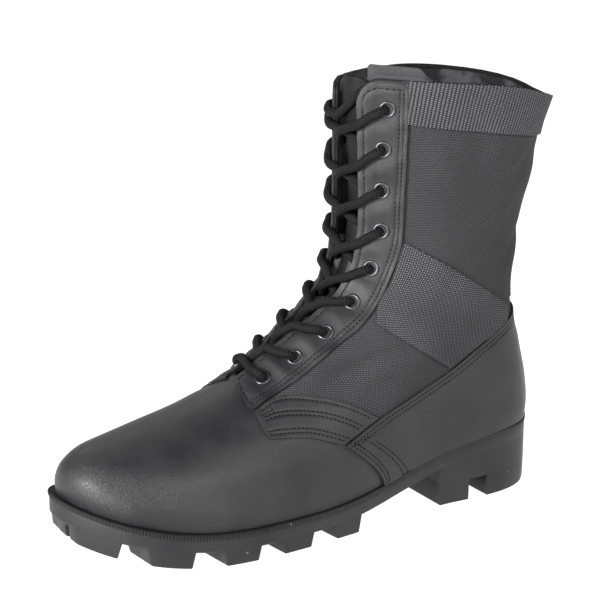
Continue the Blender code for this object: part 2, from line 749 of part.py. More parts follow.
outsole()
insole()
upper()
tongue()
overlays()
eyelets()
laces()
stand_on_origin()
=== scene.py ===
import math

import bmesh
import bpy
import numpy as np
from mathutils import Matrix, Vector


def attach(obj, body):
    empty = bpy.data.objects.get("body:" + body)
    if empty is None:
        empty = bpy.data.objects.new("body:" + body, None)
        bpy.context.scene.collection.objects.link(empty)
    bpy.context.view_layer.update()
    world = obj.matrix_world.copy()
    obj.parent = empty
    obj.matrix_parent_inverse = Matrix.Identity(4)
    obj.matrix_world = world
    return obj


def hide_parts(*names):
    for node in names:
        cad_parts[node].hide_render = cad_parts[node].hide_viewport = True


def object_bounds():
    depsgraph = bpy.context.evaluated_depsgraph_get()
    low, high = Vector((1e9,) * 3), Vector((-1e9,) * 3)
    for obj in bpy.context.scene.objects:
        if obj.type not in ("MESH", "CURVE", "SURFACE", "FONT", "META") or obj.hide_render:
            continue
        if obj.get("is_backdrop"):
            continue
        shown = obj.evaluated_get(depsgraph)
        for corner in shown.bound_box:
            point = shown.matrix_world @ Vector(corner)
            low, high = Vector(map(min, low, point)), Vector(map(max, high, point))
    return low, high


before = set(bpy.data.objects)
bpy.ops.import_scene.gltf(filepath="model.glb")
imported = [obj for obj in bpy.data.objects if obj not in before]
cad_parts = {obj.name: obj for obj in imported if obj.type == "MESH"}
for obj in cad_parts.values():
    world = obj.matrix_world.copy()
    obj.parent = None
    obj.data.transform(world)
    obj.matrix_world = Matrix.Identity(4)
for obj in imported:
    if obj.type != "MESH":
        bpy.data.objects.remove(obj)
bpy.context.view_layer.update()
print("frame loaded")

mm = 0.001
# The boot's form, in the frame's metres: sizes of the last and the leg, as the CAD has them.
form = {
    "bootLength": 0.306, "ballWidth": 0.107, "legRise": 0.2275, "heelHeight": 0.039, "ballHeight": 0.018,
    "toeHeight": 0.038, "toeSwing": 0.005, "throatWidth": 0.023, "throatLevel": 6.6, "topLevel": 14,
    "collarRim": ((-1.0, 1.8), (-0.96, 3.2), (-0.9, 4.8), (-0.84, 5.6), (-0.78, 5.6), (-0.72, 4.8),
                  (-0.66, 3.4), (-0.6, 1.6), (-0.54, 0.0), (-0.48, -1.7), (-0.42, -2.8), (-0.36, -3.8),
                  (-0.3, -4.2), (-0.24, -3.8), (-0.12, -3.2), (-0.05, -2.6), (0.0, 0.0), (0.9, 0.0),
                  (1.0, 1.8)),               # half turns from the front, and the rise in millimetres
    "place": (-0.14472, 0.00155, 0.0),     # from the heel's rear to the frame's origin
}
# The throat's half widths either side of the middle, by level: it narrows towards the vamp.
throatLevels = (6.6, 7.1, 7.8, 8.3, 8.9, 9.3, 9.8, 14)
throatHalves = {
    1: np.array((0.9, 1.4, 4.3, 6.3, 8.5, 10.1, 11.5, 11.5)) * mm,
    -1: np.array((8.0, 8.2, 8.6, 9.0, 9.8, 10.5, 11.5, 11.5)) * mm,
}
sole = {"weltWidth": 2.5 * mm, "toeReach": 1.8}
# Rings of the upper from the feather edge to the collar: where each begins and ends (shares of the
# boot's length), how high its ends are (shares of the leg's rise), and its half widths at the stations.
ringStations = (0.06, 0.25, 0.50, 0.75, 0.92)
rings = np.array((
    # back, back rise, front, front rise, heel, rear, waist, ball, toe
    (0.003, 0.000, 0.976, 0.000, 0.610, 0.740, 0.920, 0.990, 0.710),
    (0.000, 0.040, 0.975, 0.040, 0.610, 0.750, 0.935, 1.000, 0.720),
    (0.001, 0.079, 0.960, 0.083, 0.590, 0.750, 0.925, 0.955, 0.670),
    (0.006, 0.123, 0.918, 0.135, 0.570, 0.740, 0.905, 0.900, 0.620),
    (0.014, 0.167, 0.846, 0.187, 0.540, 0.720, 0.870, 0.810, 0.540),
    (0.023, 0.215, 0.757, 0.230, 0.515, 0.700, 0.820, 0.735, 0.470),
    (0.032, 0.259, 0.670, 0.271, 0.475, 0.680, 0.785, 0.680, 0.425),
    (0.037, 0.303, 0.595, 0.326, 0.450, 0.675, 0.765, 0.650, 0.390),
    (0.039, 0.347, 0.523, 0.395, 0.420, 0.675, 0.765, 0.655, 0.370),
    (0.037, 0.400, 0.461, 0.450, 0.410, 0.680, 0.775, 0.665, 0.365),
    (0.032, 0.461, 0.422, 0.519, 0.410, 0.700, 0.800, 0.680, 0.365),
    (0.028, 0.541, 0.407, 0.612, 0.420, 0.730, 0.825, 0.695, 0.365),
    (0.006, 0.664, 0.405, 0.744, 0.440, 0.775, 0.880, 0.720, 0.370),
    (-0.019, 0.765, 0.405, 0.885, 0.460, 0.815, 0.925, 0.740, 0.375),
    (-0.039, 0.835, 0.405, 1.000, 0.470, 0.830, 0.945, 0.755, 0.380),
))
innerShares = (1.00, 0.94, 0.80, 1.02, 0.92)
# Seams as seen from the side: shares of the boot's length, and of the leg's rise over the ball's height.
seams = {
    "eyestayRear": ((0.330, 1.000), (0.332, 0.847), (0.336, 0.700), (0.339, 0.620), (0.361, 0.526),
                    (0.394, 0.456), (0.464, 0.379), (0.545, 0.308), (0.641, 0.250)),
    "eyestayEnd": ((0.640, 0.289), (0.646, 0.276), (0.647, 0.262), (0.641, 0.250)),
    "bandLower": ((-0.150, 0.800), (0.000, 0.838), (0.151, 0.875), (0.340, 0.912)),
    "counterTop": ((-0.060, 0.420), (0.090, 0.370), (0.168, 0.326), (0.243, 0.279), (0.317, 0.245),
                   (0.414, 0.203), (0.494, 0.154)),
    "counterFront": ((0.494, 0.154), (0.462, 0.120), (0.434, 0.085), (0.413, 0.051), (0.398, 0.000)),
    "bandTop": ((0.419, 0.203), (0.462, 0.238), (0.505, 0.260), (0.555, 0.274), (0.592, 0.272),
                (0.641, 0.248)),
    "bandFront": ((0.641, 0.248), (0.640, 0.222), (0.637, 0.196)),
    "bandFoot": ((0.498, 0.157), (0.524, 0.170), (0.567, 0.188), (0.608, 0.193), (0.637, 0.196)),
    "bandRear": ((0.419, 0.203), (0.498, 0.157)),
    "strapUpper": ((0.336, 0.619), (0.215, 0.516), (0.095, 0.414)),
    "strapLower": ((0.397, 0.425), (0.320, 0.352), (0.245, 0.284)),
    "strapFront": ((0.336, 0.619), (0.358, 0.526), (0.390, 0.456), (0.397, 0.425)),
    "strapRear": ((0.095, 0.414), (0.093, 0.374), (0.168, 0.330), (0.245, 0.284)),
    "canvasFoot": ((-0.200, 0.400), (0.090, 0.360), (0.168, 0.316), (0.243, 0.269), (0.317, 0.235),
                   (0.414, 0.193), (0.462, 0.225), (0.505, 0.250), (0.555, 0.264), (0.590, 0.262),
                   (0.641, 0.235)),
}
eyeletPlaces = ((0.358, 0.945), (0.363, 0.847), (0.365, 0.746), (0.366, 0.645), (0.383, 0.551),
                (0.421, 0.470), (0.478, 0.403), (0.538, 0.349), (0.599, 0.306))
# Soft troughs (negative) and ridges of leather and cloth, in millimetres from the heel's rear and the
# ground: x, z, run's direction in degrees, half length, half width, height; both sides of the boot.
creases = (
    (140, 91, -20, 27, 4.0, -2.8), (146, 99, -18, 24, 4.0, 1.6), (127, 86, -22, 18, 4.0, 1.3),
    (158, 79, -10, 14, 4.0, 0.8), (24, 194, -30, 14, 5.0, -2.0), (37, 201, -30, 16, 5.0, 1.6),
    (50, 189, -35, 14, 5.0, -1.4), (98, 150, 70, 22, 6.0, -1.0), (284, 60, -40, 15, 10.0, 1.6),
    (-8, 224, 105, 22, 13.0, -2.4),
    (60, 150, -35, 26, 7.0, -1.8), (40, 175, -48, 24, 7.0, 1.5), (26, 150, -40, 16, 5.0, -1.4),
    (20, 200, -60, 26, 8.0, -2.0), (8, 188, -70, 16, 4.0, 1.6), (85, 205, 80, 30, 10.0, 1.2),
    (62, 218, 75, 26, 9.0, -1.2), (45, 130, -30, 20, 5.0, 1.0), (196, 76, -48, 12, 5.0, -0.5),
    (205, 66, -55, 14, 6.0, 0.4), (70, 78, -20, 24, 9.0, 0.5), (34, 84, -40, 18, 8.0, -0.5),
)


def curveBetween(u, width, value, slope, nextValue, nextSlope):
    return ((2 * u**3 - 3 * u**2 + 1) * value + (u**3 - 2 * u**2 + u) * width * slope
            + (3 * u**2 - 2 * u**3) * nextValue + (u**3 - u**2) * width * nextSlope)


def alongTable(positions, values, at):       # a smooth curve through values at rising positions
    positions, values = np.asarray(positions, float), np.asarray(values, float)
    at = np.clip(np.asarray(at, float), positions[0], positions[-1])
    slopes = np.gradient(values, positions, axis=0)
    i = np.clip(np.searchsorted(positions, at, side="right") - 1, 0, len(positions) - 2)
    width = positions[i + 1] - positions[i]
    u = (at - positions[i]) / width
    if values.ndim > 1:
        u, width = u[..., None], width[..., None]
    return curveBetween(u, width, values[i], slopes[i], values[i + 1], slopes[i + 1])


def runAlong(points, axis=0):                # lengths from the start of a line, or of a grid's lines
    steps = np.linalg.norm(np.diff(points, axis=axis), axis=-1)
    return np.insert(np.cumsum(steps, axis=axis), 0, 0.0, axis=axis)


def placeAlong(run, values, at):             # values of a line at given lengths along it
    return np.stack([np.interp(at, run, column) for column in values.T], axis=-1)


def smoothStep(share):
    share = np.clip(share, 0.0, 1.0)
    return share * share * (3 - 2 * share)


def soleTop(x):                              # the height on which foot and upper rest
    share = x / form["bootLength"]
    heel = (form["heelHeight"] - form["ballHeight"]) * smoothStep((0.552 - share) / 0.471)
    toe = (form["toeHeight"] - form["ballHeight"]) * (np.maximum(share - 0.698, 0.0) / 0.302) ** 2
    return form["ballHeight"] + heel + toe


def ringRow(level):
    return alongTable(range(len(rings)), rings, level)


def halfWidth(row, share, inner):
    stations = np.array(ringStations)
    fullness = row[..., 4:9] / (2 * np.sqrt(stations * (1 - stations)))
    slopes = np.gradient(fullness, stations, axis=-1)
    at = np.clip(share, stations[0], stations[-1])
    i = np.clip(np.searchsorted(stations, at, side="right") - 1, 0, len(stations) - 2)
    width = stations[i + 1] - stations[i]
    u = (at - stations[i]) / width

    def pick(table, k):
        return np.take_along_axis(table, k[..., None], axis=-1)[..., 0]

    nextFullness, nextSlope = pick(fullness, i + 1), pick(slopes, i + 1)
    value = curveBetween(u, width, pick(fullness, i), pick(slopes, i), nextFullness, nextSlope)
    value = value * 2 * np.sqrt(np.maximum(share * (1 - share), 0.0)) * form["ballWidth"] / 2
    fade = np.minimum(row[..., 1] / 0.5, 1.0)
    narrow = alongTable(stations, innerShares, share)
    return np.where(inner, value * (narrow + (1 - narrow) * fade), value)


def basePoint(level, angle):                 # angle: 0 in front, pi at the back, negative on the inner side
    level = np.clip(np.asarray(level, float), 0.0, form["topLevel"])
    angle = (np.asarray(angle, float) + math.pi) % (2 * math.pi) - math.pi
    row = ringRow(level)
    share = (1 + np.cos(angle)) / 2
    x = (row[..., 0] + (row[..., 2] - row[..., 0]) * share) * form["bootLength"]
    rise = (row[..., 1] + (row[..., 3] - row[..., 1]) * share) * form["legRise"]
    lean = -form["toeSwing"] * smoothStep((share - 0.55) / 0.45) * (1 - np.minimum(row[..., 1] / 0.25, 1.0))
    turns, heights = np.array(form["collarRim"]).T
    rise = rise + np.interp(angle / math.pi, turns, heights) * mm * smoothStep((level - 11.5) / 2.5)
    y = lean + np.where(angle < 0, -1, 1) * halfWidth(row, share, angle < 0)
    return np.stack([x, y, soleTop(x) + rise], axis=-1)


def normalAt(level, angle):
    ahead, behind = basePoint(level, angle - 0.02), basePoint(level, angle + 0.02)
    low, high = basePoint(level - 0.1, angle), basePoint(level + 0.1, angle)
    normal = np.cross(behind - ahead, high - low)
    return normal / np.linalg.norm(normal, axis=-1, keepdims=True)


def creaseHeight(points):
    height = np.zeros(points.shape[:-1])
    for x, z, turn, length, width, depth in creases:
        c, s = math.cos(math.radians(turn)), math.sin(math.radians(turn))
        dx, dz = points[..., 0] - x * mm, points[..., 2] - z * mm
        along, across = dx * c + dz * s, -dx * s + dz * c
        bend = across + 0.12 * along**2 / (length * mm)
        height += depth * mm * np.exp(-(along / (length * mm)) ** 2 - (bend / (width * mm)) ** 2)
    for share, rise in eyeletPlaces:         # the leather is drawn in at each eyelet
        x, z = share * form["bootLength"], rise * form["legRise"] + form["ballHeight"]
        away = np.hypot(points[..., 0] - x, points[..., 2] - z)
        ring, hollow = np.exp(-((away - 10 * mm) / (3.2 * mm)) ** 2), np.exp(-(away / (6 * mm)) ** 2)
        height += 0.5 * mm * ring - 0.6 * mm * hollow
    return height


def onBoot(level, angle, offset=0.0):        # a place over the creased form, in the frame
    level, angle = np.asarray(level, float), np.asarray(angle, float)
    points = basePoint(level, angle)
    height = offset + creaseHeight(points)
    points = points + normalAt(level, angle) * np.asarray(height)[..., None]
    foot = soleTop(points[..., 0]) + 0.4 * mm
    points[..., 2] = np.where(level < 1, np.maximum(points[..., 2], foot), points[..., 2])
    return points + np.array(form["place"])


def widthAngle(levels, half, atBack=False):  # where a ring is this far from its middle line
    low = np.full(len(levels), math.pi if atBack else 0.0)
    high = np.full(len(levels), math.pi / 2)
    row = ringRow(levels)
    for _ in range(40):
        middle = (low + high) / 2
        narrow = halfWidth(row, (1 + np.cos(middle)) / 2, np.zeros(len(levels), bool)) < half
        low, high = np.where(narrow, middle, low), np.where(narrow, high, middle)
    return high


def throatEdge(levels, side):                # the angle of the throat's edge, on the outer or inner side
    return widthAngle(levels, alongTable(throatLevels, throatHalves[side], levels))


def inMetres(line):                          # a side view's shares as x from the heel's rear and z
    return np.array(line) * (form["bootLength"], form["legRise"]) + (0, form["ballHeight"])


def onForm(line, side, count):               # a seam's (level, angle) places, from its side view
    points = inMetres(line)
    run = runAlong(points)
    x, z = alongTable(run, points, np.linspace(0, run[-1], count)).T

    def miss(level):
        row = ringRow(level)
        share = (x / form["bootLength"] - row[..., 0]) / (row[..., 2] - row[..., 0])
        outside = np.abs(share - np.clip(share, 0, 1))
        share = np.clip(share, 0, 1)
        rise = (row[..., 1] + (row[..., 3] - row[..., 1]) * share) * form["legRise"]
        return soleTop(x) + rise - z, share, outside

    coarse = np.arange(0, form["topLevel"] + 0.01, 0.05)[:, None] + np.zeros(count)
    off, _, outside = miss(coarse)
    level = coarse[np.argmin(np.abs(off) + outside, axis=0), 0]
    for _ in range(5):
        off = miss(level)[0]
        slope = (miss(level + 0.01)[0] - miss(level - 0.01)[0]) / 0.02
        level = np.clip(level - np.clip(off / slope, -0.1, 0.1), 0, form["topLevel"])
    return np.stack([level, side * np.arccos(2 * miss(level)[1] - 1)], axis=-1)


def levelOnLine(angles, line):               # a near-level seam, by angle
    x, z = inMetres(line).T
    low, high = np.zeros(len(angles)), np.full(len(angles), float(form["topLevel"]))
    for _ in range(40):
        middle = (low + high) / 2
        points = basePoint(middle, angles)
        under = points[:, 2] < alongTable(x, z, points[:, 0])
        low, high = np.where(under, middle, low), np.where(under, high, middle)
    return high


def spread(edge, count):                     # an edge's places, evenly spaced over the boot
    points = basePoint(edge[:, 0], edge[:, 1])
    run = runAlong(points)
    return placeAlong(run, edge, np.linspace(0, run[-1], count))


def beside(edge, distance):                  # the edge moved sideways over the form
    step = 1e-3
    origin = basePoint(edge[:, 0], edge[:, 1])
    up = (basePoint(edge[:, 0] + step, edge[:, 1]) - basePoint(edge[:, 0] - step, edge[:, 1])) / (2 * step)
    turned = (basePoint(edge[:, 0], edge[:, 1] + step) - origin) / step
    along = np.gradient(origin, axis=0)
    along /= np.linalg.norm(along, axis=1, keepdims=True)
    across = np.cross(normalAt(edge[:, 0], edge[:, 1]), along) * distance
    a, b, c = (up * up).sum(1), (up * turned).sum(1), (turned * turned).sum(1)
    p, q = (up * across).sum(1), (turned * across).sum(1)
    det = a * c - b * b
    return edge + np.stack([(c * p - b * q) / det, (a * q - b * p) / det], axis=-1)


def coons(top, foot, start, end):            # fills the grid between four edges
    t = np.linspace(0, 1, len(top))[:, None, None]
    s = np.linspace(0, 1, len(start))[None, :, None]
    corners = ((1 - t) * (1 - s) * top[0] + t * (1 - s) * top[-1] + (1 - t) * s * foot[0] + t * s * foot[-1])
    return (1 - s) * top[:, None] + s * foot[:, None] + (1 - t) * start[None] + t * end[None] - corners


def soften(points, lines, depth, reach):     # how far a surface is drawn in beside its stitches
    drawn = np.zeros(len(points))
    for line in lines:
        near = np.full(len(points), 1.0)
        for i in range(0, len(points), 4000):
            gap = np.linalg.norm(points[i:i + 4000, None] - line[None], axis=2)
            near[i:i + 4000] = gap.min(axis=1)
        drawn = np.maximum(drawn, depth * np.exp(-(near / reach) ** 2))
    return drawn


def deselect():
    for obj in bpy.context.selected_objects:
        obj.select_set(False)


def active(obj):
    deselect()
    obj.select_set(True)
    bpy.context.view_layer.objects.active = obj


def applyAll(obj):
    active(obj)
    for modifier in list(obj.modifiers):
        bpy.ops.object.modifier_apply(modifier=modifier.name)


def newMesh(name, points, faces, finish, uv=None):
    mesh = bpy.data.meshes.new(name)
    mesh.from_pydata([tuple(p) for p in points], [], [tuple(int(v) for v in f) for f in faces])
    obj = bpy.data.objects.new(name, mesh)
    bpy.context.scene.collection.objects.link(obj)
    mesh.materials.append(finish)
    if uv is not None:
        layer = mesh.uv_layers.new(name="surface")
        corners = np.empty(len(mesh.loops), int)
        mesh.loops.foreach_get("vertex_index", corners)
        layer.data.foreach_set("uv", np.asarray(uv, float)[corners].ravel())
    mesh.polygons.foreach_set("use_smooth", [True] * len(mesh.polygons))
    return obj


def gridFaces(rows, columns):
    i, j = np.meshgrid(np.arange(rows - 1), np.arange(columns - 1), indexing="ij")
    a = (i * columns + j).ravel()
    return np.stack([a, a + 1, a + columns + 1, a + columns], axis=1)


def faceOutwards(obj):
    work = bmesh.new()
    work.from_mesh(obj.data)
    bmesh.ops.recalc_face_normals(work, faces=work.faces)
    work.to_mesh(obj.data)
    work.free()


def addWall(obj, thickness, offset):
    wall = obj.modifiers.new("wall", "SOLIDIFY")
    wall.thickness, wall.offset = thickness, offset
    return wall


def addRim(obj, width, degrees):             # rounds the edges that are sharper than this
    rim = obj.modifiers.new("edge", "BEVEL")
    rim.width, rim.segments, rim.limit_method, rim.angle_limit = width, 3, "ANGLE", math.radians(degrees)


def finishPiece(obj, nodes):
    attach(obj, "root")
    if nodes:
        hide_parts(*nodes)


def nodeTools(owner):                        # short ways to add, join and calculate in a node tree
    tree = owner.node_tree

    def add(kind, values=(), **settings):
        node = tree.nodes.new(kind)
        for key, value in settings.items():
            setattr(node, key, value)
        for key, value in dict(values).items():
            node.inputs[key].default_value = value
        return node

    def join(output, socket):
        tree.links.new(output, socket)

    def calc(operation, a, b=None):
        node = add("ShaderNodeMath", operation=operation)
        for i, value in enumerate((a, b)):
            if isinstance(value, (int, float)):
                node.inputs[i].default_value = value
            elif value is not None:
                join(value, node.inputs[i])
        return node.outputs[0]

    return add, join, calc


# Camera, light and floor
photoView = {
    "side": 30.8, "height": 15.6, "distance": 1.0, "lens": 106.8,
    "target": (150 * mm, 0.0, 130 * mm), "shift": (-0.003, -0.0155),
}
aim = np.array(photoView["target"]) + np.array(form["place"])
turn, rise = math.radians(photoView["side"]), math.radians(photoView["height"])
back = np.array((math.sin(turn) * math.cos(rise), math.cos(turn) * math.cos(rise), math.sin(rise)))
camera = bpy.data.objects.new("camera", bpy.data.cameras.new("camera"))
bpy.context.scene.collection.objects.link(camera)
camera.location = aim + back * photoView["distance"]
camera.rotation_euler = Vector(-back).to_track_quat("-Z", "Y").to_euler()
camera.data.lens = photoView["lens"]
camera.data.shift_x, camera.data.shift_y = photoView["shift"]
bpy.context.scene.camera = camera

studio = {                                   # place, size and watts; the world's light from low to overhead
    "key": ((0.15, 1.35, 0.95), 0.7, 19), "front": ((1.50, 0.28, 0.56), 0.45, 50),
    "rear": ((-0.95, 0.75, 0.75), 0.6, 6), "inner": ((0.1, -1.1, 0.9), 0.8, 4),
    "sky": ((0.50, 0.60), (0.53, 0.32), (0.60, 0.14), (1.0, 0.08)),
}
for name in ("key", "front", "rear", "inner"):
    place, size, watts = studio[name]
    lamp = bpy.data.objects.new(name + "Light", bpy.data.lights.new(name + "Light", "AREA"))
    bpy.context.scene.collection.objects.link(lamp)
    lamp.location = place
    lamp.rotation_euler = (Vector((0, 0, 0.1)) - Vector(place)).to_track_quat("-Z", "Y").to_euler()
    lamp.data.size = size
    lamp.data.energy = watts
world = bpy.data.worlds.new("studio")
world.use_nodes = True
add, join, calc = nodeTools(world)
upward = add("ShaderNodeSeparateXYZ")
join(add("ShaderNodeTexCoord").outputs["Generated"], upward.inputs[0])
height = add("ShaderNodeMapRange", {"From Min": -1.0})
join(upward.outputs["Z"], height.inputs["Value"])
sky = add("ShaderNodeValToRGB")
join(height.outputs["Result"], sky.inputs["Fac"])
while len(sky.color_ramp.elements) < len(studio["sky"]):
    sky.color_ramp.elements.new(0.5)
for element, (position, grey) in zip(sky.color_ramp.elements, studio["sky"]):
    element.position, element.color = position, (grey, grey, grey, 1)
join(sky.outputs["Color"], world.node_tree.nodes["Background"].inputs["Color"])
bpy.context.scene.world = world
bpy.context.scene.view_settings.view_transform = "Standard"


def newFinish(name, colour, roughness, metallic=0.0, specular=0.5, sheen=0.0):
    finish = bpy.data.materials.new(name)
    finish.use_nodes = True
    shader = finish.node_tree.nodes["Principled BSDF"]
    values = {"Base Color": (*colour, 1), "Roughness": roughness, "Metallic": metallic,
              "Specular IOR Level": specular, "Sheen Weight": sheen}
    for key, value in values.items():
        shader.inputs[key].default_value = value
    return finish, shader


def noiseOn(tools, place, scale, detail=2.0):
    add, join = tools[:2]
    noise = add("ShaderNodeTexNoise", {"Scale": scale, "Detail": detail})
    join(place, noise.inputs["Vector"])
    return noise


def mottle(tools, shader, dark, light, scale, low, high, place, detail=6.0, span=(0.35, 0.68)):
    add, join = tools[:2]                    # two tones and a varying roughness, on the object's own place
    noise = noiseOn(tools, place, scale, detail)
    tones = add("ShaderNodeValToRGB")
    for element, position, colour in zip(tones.color_ramp.elements, span, (dark, light)):
        element.position, element.color = position, (*colour, 1)
    join(noise.outputs["Fac"], tones.inputs["Fac"])
    join(tones.outputs["Color"], shader.inputs["Base Color"])
    gloss = add("ShaderNodeMapRange", {"To Min": low, "To Max": high})
    join(noise.outputs["Fac"], gloss.inputs["Value"])
    join(gloss.outputs["Result"], shader.inputs["Roughness"])
    return tones


def bumpFrom(tools, shader, height, strength, depth):
    add, join = tools[:2]
    bump = add("ShaderNodeBump", {"Strength": strength, "Distance": depth})
    join(height, bump.inputs["Height"])
    join(bump.outputs["Normal"], shader.inputs["Normal"])


def leatherFinish(name, dark, light, low, high, grain, pores, specular=0.5):
    finish, shader = newFinish(name, dark, low, specular=specular)
    tools = add, join, calc = nodeTools(finish)
    place = add("ShaderNodeTexCoord").outputs["Object"]
    mottle(tools, shader, dark, light, 38, low, high, place)
    cells = add("ShaderNodeTexVoronoi", {"Scale": pores}, feature="DISTANCE_TO_EDGE")
    warp = noiseOn(tools, place, pores * 0.7)
    shifted = add("ShaderNodeVectorMath", {1: (0.0012, 0.0012, 0.0012)}, operation="MULTIPLY_ADD")
    join(warp.outputs["Color"], shifted.inputs[0])
    join(place, shifted.inputs[2])
    join(shifted.outputs[0], cells.inputs["Vector"])
    plateau = calc("MINIMUM", cells.outputs["Distance"], 0.12)
    fine = noiseOn(tools, place, pores * 3, 4)
    height = calc("ADD", calc("MULTIPLY", plateau, 4.0), calc("MULTIPLY", fine.outputs["Fac"], 0.35))
    bumpFrom(tools, shader, height, grain, 0.00022)
    return finish


def weaveFinish(name, dark, light, across, along, strength, slant=0.0, roughness=0.85, depth=0.0004,
                sharp=0.8, lean=0.0, uneven=0.45):
    finish, shader = newFinish(name, light, roughness, specular=0.15)
    tools = add, join, calc = nodeTools(finish)      # threads over and under, by the piece's own map
    place = add("ShaderNodeSeparateXYZ")
    join(add("ShaderNodeUVMap", uv_map="surface").outputs["UV"], place.inputs[0])
    onPiece = add("ShaderNodeTexCoord").outputs["Object"]
    u = calc("ADD", place.outputs["X"], calc("MULTIPLY", noiseOn(tools, onPiece, 110).outputs["Fac"], 0.0006))
    v = place.outputs["Y"]
    u, v = calc("ADD", u, calc("MULTIPLY", v, slant)), calc("ADD", v, calc("MULTIPLY", u, lean))
    warp = calc("COSINE", calc("MULTIPLY", u, math.pi / across))
    weft = calc("COSINE", calc("MULTIPLY", v, math.pi / along))
    over = calc("MULTIPLY", warp, weft)
    height = calc("POWER", calc("ABSOLUTE", over), sharp)
    raised = calc("GREATER_THAN", over, 0.0)
    height = calc("MULTIPLY", height, calc("ADD", calc("MULTIPLY", raised, uneven), 1 - uneven))
    # painted shade: the gaps between threads and the threads that pass under go dark by their low height, the
    # raised threads take the light tone
    tones = add("ShaderNodeMix", {"A": (*dark, 1), "B": (*light, 1)}, data_type="RGBA")
    join(height, tones.inputs["Factor"])
    shade = add("ShaderNodeMix", {"Factor": 0.5}, data_type="RGBA", blend_type="MULTIPLY")
    join(tones.outputs["Result"], shade.inputs["A"])
    join(noiseOn(tools, onPiece, 22, 8).outputs["Fac"], shade.inputs["B"])
    join(shade.outputs["Result"], shader.inputs["Base Color"])
    bumpFrom(tools, shader, height, strength, depth)
    return finish


def mottledCloth(name, dark, light):
    finish, shader = newFinish(name, dark, 0.9, specular=0.2, sheen=0.1)
    tools = nodeTools(finish)
    place = tools[0]("ShaderNodeTexCoord").outputs["Object"]
    mottle(tools, shader, dark, light, 95, 0.85, 0.95, place, 4.0, (0.44, 0.62))
    bumpFrom(tools, shader, noiseOn(tools, place, 1300).outputs["Fac"], 0.5, 0.0003)
    return finish


def rubberFinish(name, dark, light, low, high, grain):
    finish, shader = newFinish(name, dark, low, specular=0.34)
    tools = nodeTools(finish)
    add, join = tools[:2]
    place = add("ShaderNodeTexCoord").outputs["Object"]
    tones = mottle(tools, shader, dark, light, 24, low, high, place, 9.0)
    worn = add("ShaderNodeMapRange", {"From Min": 0.72, "From Max": 0.80})
    join(noiseOn(tools, place, 210).outputs["Fac"], worn.inputs["Value"])
    scuffed = add("ShaderNodeMix", {"B": (0.11, 0.11, 0.11, 1)}, data_type="RGBA")
    join(worn.outputs["Result"], scuffed.inputs["Factor"])
    join(tones.outputs["Color"], scuffed.inputs["A"])
    join(scuffed.outputs["Result"], shader.inputs["Base Color"])
    bumpFrom(tools, shader, noiseOn(tools, place, 900, 3).outputs["Fac"], grain, 0.0002)
    return finish


# Each leather: dark and light tone, lowest and highest roughness, grain, pores to a metre, specular
vampLeather = leatherFinish("vampLeather", (0.006, 0.006, 0.007), (0.015, 0.015, 0.016), 0.38, 0.52,
                            0.60, 800, 0.44)
stayLeather = leatherFinish("stayLeather", (0.008, 0.008, 0.009), (0.020, 0.020, 0.021), 0.40, 0.54,
                            0.60, 850, 0.40)
tongueLeather = leatherFinish("tongueLeather", (0.005, 0.005, 0.005), (0.010, 0.010, 0.010), 0.45, 0.60,
                              0.25, 800, 0.12)
# Each weave: the painted shade of its gaps and the tone of its threads, the threads' pitch across and along,
# the bump's strength
canvas = weaveFinish("canvas", (0.007, 0.007, 0.008), (0.125, 0.125, 0.129), 1.05 * mm, 0.95 * mm, 0.9,
                     slant=0.1)
webbing = weaveFinish("webbing", (0.005, 0.005, 0.006), (0.27, 0.27, 0.28), 1.0 * mm, 2.1 * mm, 1.0,
                      slant=0.24, depth=0.0008, sharp=1.2, lean=0.14, uneven=0.1)
strapWebbing = weaveFinish("strapWebbing", (0.005, 0.005, 0.006), (0.29, 0.29, 0.30), 1.25 * mm, 1.1 * mm,
                           1.0, slant=0.35, depth=0.0008, sharp=1.2)
gussetCloth = weaveFinish("gussetCloth", (0.030, 0.030, 0.031), (0.160, 0.160, 0.165), 0.65 * mm,
                          0.65 * mm, 0.5)
bindingTape = weaveFinish("bindingTape", (0.006, 0.006, 0.006), (0.02, 0.02, 0.021), 0.7 * mm, 0.7 * mm, 0.6)
cordFinish = weaveFinish("cordFinish", (0.001, 0.001, 0.001), (0.070, 0.070, 0.072), 1.12 * mm, 1.12 * mm,
                         1.0, roughness=0.6, depth=0.0009, sharp=2.4)
liningCloth = mottledCloth("liningCloth", (0.009, 0.009, 0.010), (0.052, 0.052, 0.054))
rubber = rubberFinish("rubber", (0.008, 0.008, 0.009), (0.019, 0.019, 0.020), 0.40, 0.62, 0.25)
weltRubber = rubberFinish("weltRubber", (0.007, 0.007, 0.007), (0.014, 0.014, 0.014), 0.5, 0.7, 0.25)
thread, _ = newFinish("thread", (0.020, 0.020, 0.021), 0.6, specular=0.3)
# painted shade: the stitch holes are flat discs coloured near-black
stitchHoleShade, _ = newFinish("stitchHoleShade", (0.002, 0.002, 0.002), 0.9, specular=0.1)
eyeletMetal, _ = newFinish("eyeletMetal", (0.09, 0.09, 0.095), 0.38, metallic=1.0)
print("finishes made")

floorSize = {"side": 12.0, "colour": (0.30, 0.30, 0.30), "glow": 1.0}
deselect()
bpy.ops.mesh.primitive_plane_add(size=floorSize["side"], location=(0, 0, 0))
floor = bpy.context.object
floor.name = "floor"
floorFinish, floorShader = newFinish("floorPaper", floorSize["colour"], 0.9, specular=0.1)
floorShader.inputs["Emission Color"].default_value = (1, 1, 1, 1)
floorShader.inputs["Emission Strength"].default_value = floorSize["glow"]
floor.data.materials.append(floorFinish)
floor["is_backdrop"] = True

# Upper: one wall with leather round the foot and cloth round the leg
upperWall = {"thickness": 2.0 * mm, "rows": 122, "sideColumns": 130, "throatColumns": 4,
             "corner": 13 * mm, "innerCorner": 5 * mm, "dip": (16 * mm, 4 * mm), "levelHeight": 26 * mm,
             "topPart": (12.8, 1.2)}         # the level where the collar's shaping begins, and its span
levels = np.linspace(0, form["topLevel"], upperWall["rows"])
levels[np.argmin(np.abs(levels - form["throatLevel"]))] = form["throatLevel"]
half, sides = upperWall["throatColumns"], upperWall["sideColumns"]
